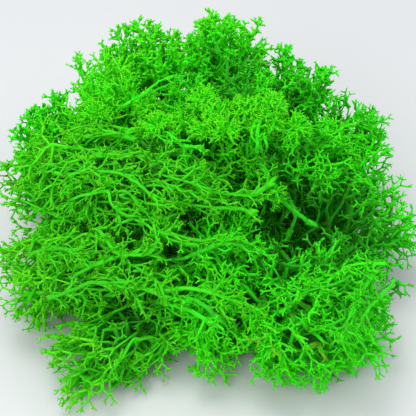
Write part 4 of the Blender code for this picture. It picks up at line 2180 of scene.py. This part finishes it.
    def ground_places(self) -> Array:
        """Places in the holes under the tuft, where its old stalks lie on the ground, drawn dark as
        painted shade.

        Returns:
            Points between the solids, with the tuft above them, in mm.
        """
        points = self.lattice(self.GROUND_SPACING)
        lowest, highest = self.GROUND_HEIGHTS
        points = points[(points[:, 2] > lowest) & (points[:, 2] < highest)]
        rise = np.array((0.0, 0.0, self.heap.SHELTER_RISE))
        points = points[self.envelope.holds(points + rise) | self.envelope.holds(points + 2.0 * rise)]
        points = points[~self.heap.held(points)]
        return points[self.heap.sheltered(points)]

    def beside_valley(self, places: Array) -> Array:
        """How far the nearest valley between two heads is.

        The valley is the plane half way between the two nearest tops, so the way
        to it is the difference of the squared distances over twice the distance
        of the two tops.

        Args:
            places: Points in mm.

        Returns:
            The distances in mm.
        """
        apart = np.linalg.norm(places[:, None] - self.crowns[None], axis=2)
        nearest = np.argsort(apart, axis=1)[:, :2]
        close = np.take_along_axis(apart, nearest, axis=1)
        between = self.crowns[nearest[:, 0]] - self.crowns[nearest[:, 1]]
        return (close[:, 1] ** 2 - close[:, 0] ** 2) / (2.0 * np.linalg.norm(between, axis=1))

    def dome_ways(self, places: Array) -> Array:
        """Which way sprigs fan out from below the nearest head's top.

        Args:
            places: Points in mm.

        Returns:
            Unit vectors.
        """
        apart = np.linalg.norm(places[:, None] - self.crowns[None], axis=2)
        crown = self.crowns[apart.argmin(1)]
        base = crown + unit(self.envelope.middle - crown) * self.CROWN_DEPTH
        return unit(places - base)

    def plies(self, places: Array) -> List[Array]:
        """Deal the sprigs out to the plies of stalks, each to one that starts behind it.

        Args:
            places: Where the sprigs start.

        Returns:
            The places of each ply.
        """
        growth = self.growth()
        plies = HABIT_SIZES[self.plan.habit].plies
        feet = np.array([ply.foot_share for ply in plies])
        back = self.envelope.reach(-growth[None, :])[0]
        along = (places - self.envelope.middle) @ growth
        behind = along[:, None] + back * feet > self.PLY_CLEARANCE
        behind[:, 0] = True
        number = (self.rng.random(behind.shape) * behind).argmax(1)
        return [places[number == ply] for ply in range(len(plies))]

    def tones(self, places: Array) -> Array:
        """A tone for each stalk: slow waves over the tuft and a lot of its own.

        The wave is the sum of three sines of the place, and a few stalks are olive,
        which is a tone near 1.

        Args:
            places: Where the stalks end.

        Returns:
            Tones from 0 to 1.
        """
        wave = np.zeros(len(places))
        for period in self.TONE_PERIODS:
            way = unit(self.rng.normal(0.0, 1.0, 3))
            turn = self.rng.uniform(0.0, 2.0 * math.pi)
            wave += np.sin(places @ way * 2.0 * math.pi / period + turn) / len(self.TONE_PERIODS)
        stray = self.rng.normal(0.0, self.TONE_STRAY, len(places))
        tone = np.clip(self.TONE_MIDDLE + self.TONE_WAVE * wave + stray, *self.TONE_RANGE)
        olive = self.rng.random(len(places)) < self.OLIVE_SHARE
        return np.where(olive, self.rng.uniform(*self.OLIVE_TONES, len(places)), tone)

    def grow_layer(self, layer: Layer) -> int:
        """Grow and skin one layer of stalks, ply by ply.

        Args:
            layer: The layer.

        Returns:
            How many sprigs it has.
        """
        plies = HABIT_SIZES[self.plan.habit].plies
        places = self.sprig_places(layer)
        dealt = self.plies(places) if layer.outer else [places]
        for ply, share in zip(plies, dealt):
            if len(share) >= 2:
                self.grow_ply(share, ply, layer)
        return len(places)

    def grow_ply(self, places: Array, ply: Ply, layer: Layer) -> None:
        """Grow and skin the stalks of one foot with their sprigs and twigs.

        Args:
            places: Where the sprigs start.
            ply: The ply of stalks.
            layer: The layer.
        """
        sizes = HABIT_SIZES[self.plan.habit]
        stems = max(2, min(int(ply.stems * layer.stem_share), len(places) // 2))
        lift = ply.lift if layer.outer else 0.0
        forks = ForkPlanner(self.envelope, self.heap, self.growth(), sizes, ply.foot_share,
                            stems, lift, self.rng).grow(places)
        depth, outward = self.heap.nearest_open(forks.head)
        # The hollows' painted shade is added to the depth, which darkens the stalks' colour.
        depth = depth + self.heap.painted_shade(forks.head)
        tone = self.tones(forks.head)
        skinner = StalkSkinner(forks, depth, tone, self.rng,
                               StalkSizes(layer.tip_radius, ply.swelling), self.plan.light)
        skinner.skin(self.stock)
        shade = skinner.brightness(depth, forks.size)
        way = forks.heading()
        ahead = unit(way + outward * sizes.outward + self.dome_ways(forks.head) * sizes.dome
                     + self.rng.normal(0.0, self.SPRIG_STRAY, way.shape))
        across = unit(np.cross(outward, ahead))
        grower = SprigGrower(self.rng, self.stock, layer.flatness, min(self.plan.light, 1.0))
        tips = Ends(forks.head, ahead, across, shade, tone).pick(forks.main < 0)
        grower.grow(tips, layer.sprig)
        if not layer.outer:
            return
        for nodes in skinner.nodes:
            self.grow_twigs(nodes, grower)

    def grow_twigs(self, nodes: Ends, grower: SprigGrower) -> None:
        """Let side twigs stand out from stalks that lie open.

        Args:
            nodes: Places along the stalks.
            grower: What grows the twigs.
        """
        sizes = HABIT_SIZES[self.plan.habit]
        bearing = self.rng.random(len(nodes.place)) < sizes.twig_share
        nodes = nodes.pick(bearing & (nodes.shade > self.DIMMEST_TWIG))
        if not len(nodes.place):
            return
        outward = self.heap.nearest_open(nodes.place)[1]
        stray = self.rng.normal(0.0, self.TWIG_STRAY, nodes.ahead.shape)
        nodes.ahead = unit(nodes.ahead * self.TWIG_AHEAD + outward * self.TWIG_OUTWARD + stray)
        grower.grow(nodes, SIDE_SPRIG)

    def build(self, material: bpy.types.Material) -> bpy.types.Object:
        """Grow the layers, make the tuft, and let it stand for its node.

        Args:
            material: The finish of its slot.

        Returns:
            The piece.
        """
        layers = (OPEN_LAYERS[self.plan.habit], OLD_LAYER)
        sprigs = [self.grow_layer(layer) for layer in layers]
        grower = SprigGrower(self.rng, self.stock, self.BRANCH_FLATNESS, min(self.plan.light, 1.0))
        StrandLayer(self.heap, grower).lay(self.plan.strands)
        self.grow_heads()
        piece = self.stock.make(self.plan.node + "_stalks", material)
        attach(piece, BODY)
        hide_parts(self.plan.node)
        LOG.info("%s: %s sprigs, %d triangles", piece.name, sprigs, self.stock.triangles)
        return piece


class LichenColourGroup:
    """The shader node group that turns painted shade and tone into the stalk's colour."""

    NAME = "lichen_colour"
    MOTTLE_SHADE = 9.0
    MOTTLE_TONE = 42.0
    MOTTLE_RANGE = (0.25, 0.75, -0.14, 0.14)
    # The painted shade mixes the deep green into the stalk green, and the stalk green into the tip
    # green.
    STALK_RANGE = (0.02, 0.46)
    TIP_RANGE = (0.50, 1.00)
    TIP_TONES = (0.10, 0.80, 0.45, 1.0)
    OLIVE_RANGE = (0.87, 0.895, 0.0, 0.75)
    ROUGHNESS_RANGE = (0.2, 0.8, 0.58, 0.78)

    def __init__(self) -> None:
        """Build the group once."""
        self.tree = bpy.data.node_groups.new(self.NAME, "ShaderNodeTree")
        sockets = self.tree.interface
        for name in ("Shade", "Tone"):
            sockets.new_socket(name=name, in_out="INPUT", socket_type="NodeSocketFloat")
        for name in ("Tip", "Stalk", "Deep", "Olive"):
            sockets.new_socket(name=name, in_out="INPUT", socket_type="NodeSocketColor")
        sockets.new_socket(name="Colour", in_out="OUTPUT", socket_type="NodeSocketColor")
        sockets.new_socket(name="Roughness", in_out="OUTPUT", socket_type="NodeSocketFloat")
        self._wire()

    def _node(self, kind: str, **settings: object) -> bpy.types.Node:
        """Add a node and set its properties.

        Args:
            kind: The node's type.
            settings: Its properties by name.

        Returns:
            The node.
        """
        node = self.tree.nodes.new(kind)
        for name, value in settings.items():
            setattr(node, name, value)
        return node

    def _between(self, value: Socket, low: float, high: float,
                 to_low: float = 0.0, to_high: float = 1.0) -> Socket:
        """Map a value from one range to another along a smooth step.

        Args:
            value: The value.
            low: Where its range starts.
            high: Where it ends.
            to_low: What the start becomes.
            to_high: What the end becomes.

        Returns:
            The mapped value.
        """
        node = self._node("ShaderNodeMapRange", interpolation_type="SMOOTHSTEP")
        self.tree.links.new(value, node.inputs["Value"])
        node.inputs["From Min"].default_value = low
        node.inputs["From Max"].default_value = high
        node.inputs["To Min"].default_value = to_low
        node.inputs["To Max"].default_value = to_high
        return node.outputs["Result"]

    def _mix(self, share: Socket, first: Socket, second: Socket) -> Socket:
        """Mix two colours.

        Args:
            share: The second one's share.
            first: The first colour.
            second: The second colour.

        Returns:
            The mixed colour.
        """
        node = self._node("ShaderNodeMix", data_type="RGBA")
        self.tree.links.new(share, node.inputs[0])
        self.tree.links.new(first, node.inputs[6])
        self.tree.links.new(second, node.inputs[7])
        return node.outputs[2]

    def _math(self, operation: str, first: Socket, second: object) -> Socket:
        """Join two values.

        Args:
            operation: The name of the sum that joins them.
            first: The first value.
            second: The second value, or a plain number.

        Returns:
            The result.
        """
        node = self._node("ShaderNodeMath", operation=operation)
        self.tree.links.new(first, node.inputs[0])
        if isinstance(second, (int, float)):
            node.inputs[1].default_value = second
        else:
            self.tree.links.new(second, node.inputs[1])
        return node.outputs[0]

    def _wire(self) -> None:
        """Lay out the group: mottling, three greens by painted shade, olive by tone."""
        links = self.tree.links
        given = self._node("NodeGroupInput").outputs
        result = self._node("NodeGroupOutput").inputs
        place = self._node("ShaderNodeCombineXYZ")
        links.new(self._math("MULTIPLY", given["Shade"], self.MOTTLE_SHADE), place.inputs["X"])
        links.new(self._math("MULTIPLY", given["Tone"], self.MOTTLE_TONE), place.inputs["Y"])
        mottle = self._node("ShaderNodeTexNoise", noise_dimensions="2D")
        mottle.inputs["Scale"].default_value = 1.0
        mottle.inputs["Detail"].default_value = 2.0
        links.new(place.outputs["Vector"], mottle.inputs["Vector"])
        stray = self._between(mottle.outputs["Fac"], *self.MOTTLE_RANGE)
        shade = self._math("ADD", given["Shade"], stray)
        stalk = self._between(shade, *self.STALK_RANGE)
        colour = self._mix(stalk, given["Deep"], given["Stalk"])
        tip = self._between(shade, *self.TIP_RANGE)
        tip = self._math("MULTIPLY", tip, self._between(given["Tone"], *self.TIP_TONES))
        colour = self._mix(tip, colour, given["Tip"])
        olive = self._between(given["Tone"], *self.OLIVE_RANGE)
        colour = self._mix(olive, colour, given["Olive"])
        links.new(colour, result["Colour"])
        roughness = self._between(mottle.outputs["Fac"], *self.ROUGHNESS_RANGE)
        links.new(roughness, result["Roughness"])


@dataclass(frozen=True)
class MossFinish:
    """The dyed, oiled surface of one green of lichen.

    Attributes:
        slot: The record's slot.
        tip: Colour of the young open tips: their own yellow-green, partly also painted light.
        stalk: Colour of the stalks.
        deep: Colour of what lies deep in the tuft: painted shade, partly also the darker old stalks.
        olive: Colour of the few strands that took the dye badly.
        sheen: Weight of the soft edge light of its felted skin.
        specular: Strength of its faint gloss.
    """

    slot: Slot
    tip: Colour
    stalk: Colour
    deep: Colour
    olive: Colour
    sheen: float = 0.24
    specular: float = 0.12

    def build(self, group: LichenColourGroup) -> bpy.types.Material:
        """Make the material.

        Args:
            group: The shared colour group.

        Returns:
            The material, named after its slot.
        """
        material = bpy.data.materials.new(self.slot.value)
        material.use_nodes = True
        tree = material.node_tree
        shader = tree.nodes["Principled BSDF"]
        place = tree.nodes.new("ShaderNodeUVMap")
        place.uv_map = UV_NAME
        parts = tree.nodes.new("ShaderNodeSeparateXYZ")
        colour = tree.nodes.new("ShaderNodeGroup")
        colour.node_tree = group.tree
        for name, value in (("Tip", self.tip), ("Stalk", self.stalk),
                            ("Deep", self.deep), ("Olive", self.olive)):
            colour.inputs[name].default_value = (*value, 1.0)
        tree.links.new(place.outputs["UV"], parts.inputs["Vector"])
        tree.links.new(parts.outputs["X"], colour.inputs["Shade"])
        tree.links.new(parts.outputs["Y"], colour.inputs["Tone"])
        tree.links.new(colour.outputs["Colour"], shader.inputs["Base Color"])
        tree.links.new(colour.outputs["Roughness"], shader.inputs["Roughness"])
        shader.inputs["Specular IOR Level"].default_value = self.specular
        shader.inputs["Sheen Weight"].default_value = self.sheen
        shader.inputs["Sheen Roughness"].default_value = 0.4
        shader.inputs["Sheen Tint"].default_value = (0.45, 1.0, 0.03, 1.0)
        return material


# Each finish lists tip, stalk, deep and olive greens: the deep green is painted shade, partly also the
# darker old stalks.
FINISHES: Tuple[MossFinish, ...] = (
    MossFinish(Slot.YELLOW, (0.124, 0.730, 0.009), (0.040, 0.610, 0.006),
               (0.011, 0.180, 0.009), (0.170, 0.430, 0.015)),
    MossFinish(Slot.FRESH, (0.108, 0.830, 0.009), (0.036, 0.800, 0.007),
               (0.013, 0.330, 0.009), (0.150, 0.400, 0.015)),
    MossFinish(Slot.DEEP, (0.100, 0.820, 0.010), (0.034, 0.780, 0.008),
               (0.013, 0.270, 0.008), (0.120, 0.330, 0.015)),
)


@dataclass
class MossClump:
    """The whole heap: all tufts and their finishes."""

    plans: Tuple[TuftPlan, ...] = TUFTS
    finishes: Tuple[MossFinish, ...] = FINISHES

    def build(self, nodes: Dict[str, bpy.types.Object]) -> List[bpy.types.Object]:
        """Build every tuft in the place of its node.

        Args:
            nodes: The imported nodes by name.

        Returns:
            The pieces.
        """
        group = LichenColourGroup()
        materials = {finish.slot: finish.build(group) for finish in self.finishes}
        envelopes = {plan.node: Envelope(nodes[plan.node]) for plan in self.plans}
        heap = Heap(envelopes)
        LOG.info("open surface: %d points", len(heap.open_points))
        return [Tuft(plan, envelopes[plan.node], heap, envelopes[plan.node].crowns())
                .build(materials[plan.slot]) for plan in self.plans]


@dataclass(frozen=True)
class AreaLamp:
    """A soft square lamp that faces the heap.

    Attributes:
        name: Its name.
        place: Where it hangs, in metres.
        side: Length of its side, in metres.
        power: Its power in watts.
        colour: Its colour.
    """

    name: str
    place: Point
    side: float
    power: float
    colour: Colour

    def build(self, target: Vector) -> None:
        """Hang the lamp and turn it to the target.

        Args:
            target: What it faces, in metres.
        """
        lamp = bpy.data.lights.new(self.name, "AREA")
        lamp.shape = "SQUARE"
        lamp.size = self.side
        lamp.energy = self.power
        lamp.color = self.colour
        item = bpy.data.objects.new(self.name, lamp)
        item.location = self.place
        away = Vector(self.place) - target
        item.rotation_euler = away.to_track_quat("Z", "Y").to_euler()
        bpy.context.scene.collection.objects.link(item)


@dataclass
class Studio:
    """Floor, light and camera."""

    elevation: float = math.radians(42.0)
    target: Point = (0.0, 0.0, 0.028)
    distance: float = 0.400
    scale_pixels: float = 1067.0
    sensor: float = 36.0
    floor_half: float = 3.0
    floor_colour: Colour = (0.60, 0.61, 0.62)
    world_colour: Colour = (0.95, 0.97, 1.0)
    world_strength: float = 0.80
    lamps: Tuple[AreaLamp, ...] = (
        AreaLamp("key_lamp", (-0.12, 0.10, 0.75), 0.32, 2.7, (1.0, 0.99, 0.96)),
        AreaLamp("front_lamp", (-0.30, -0.50, 0.42), 0.45, 2.1, (1.0, 1.0, 0.98)),
        AreaLamp("side_lamp", (0.52, -0.10, 0.40), 0.45, 0.8, (0.97, 0.98, 1.0)),
    )

    def build(self) -> None:
        """Set up the whole studio."""
        self.build_camera()
        self.build_floor()
        self.build_light()

    def build_camera(self) -> None:
        """Put the camera in front of and above the heap, without tilt to a side."""
        data = bpy.data.cameras.new("camera")
        data.sensor_width = self.sensor
        data.lens = self.sensor * self.scale_pixels / IMAGE_PIXELS
        data.clip_start = 0.01
        data.clip_end = 20.0
        camera = bpy.data.objects.new("camera", data)
        away = Vector((0.0, -math.cos(self.elevation), math.sin(self.elevation)))
        camera.location = Vector(self.target) + away * self.distance
        camera.rotation_euler = (math.pi / 2.0 - self.elevation, 0.0, 0.0)
        bpy.context.scene.collection.objects.link(camera)
        bpy.context.scene.camera = camera

    def build_floor(self) -> None:
        """A plain level floor just under the heap, as one square face."""
        half = self.floor_half
        corner = np.array(((-1, -1), (1, -1), (1, 1), (-1, 1)), float) * half
        points = np.column_stack((corner, np.full(4, -0.0002)))
        mesh = bpy.data.meshes.new("floor")
        mesh.from_pydata(points.tolist(), [], [(0, 1, 2, 3)])
        material = bpy.data.materials.new("floor")
        material.use_nodes = True
        shader = material.node_tree.nodes["Principled BSDF"]
        shader.inputs["Base Color"].default_value = (*self.floor_colour, 1.0)
        shader.inputs["Roughness"].default_value = 0.9
        shader.inputs["Specular IOR Level"].default_value = 0.1
        mesh.materials.append(material)
        floor = bpy.data.objects.new("floor", mesh)
        bpy.context.scene.collection.objects.link(floor)

    def build_light(self) -> None:
        """Even light from all round, with soft lamps above."""
        world = bpy.data.worlds.new("studio")
        world.use_nodes = True
        sky = world.node_tree.nodes["Background"]
        sky.inputs["Color"].default_value = (*self.world_colour, 1.0)
        sky.inputs["Strength"].default_value = self.world_strength
        bpy.context.scene.world = world
        bpy.context.scene.view_settings.view_transform = "Standard"
        for lamp in self.lamps:
            lamp.build(Vector(self.target))


def main() -> None:
    """Load the frame, and build the heap and the studio."""
    logging.basicConfig(level=logging.INFO, format="%(name)s %(message)s")
    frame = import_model()
    Studio().build()
    MossClump().build(frame["nodes"])
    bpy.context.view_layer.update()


if __name__ == "__main__":
    main()
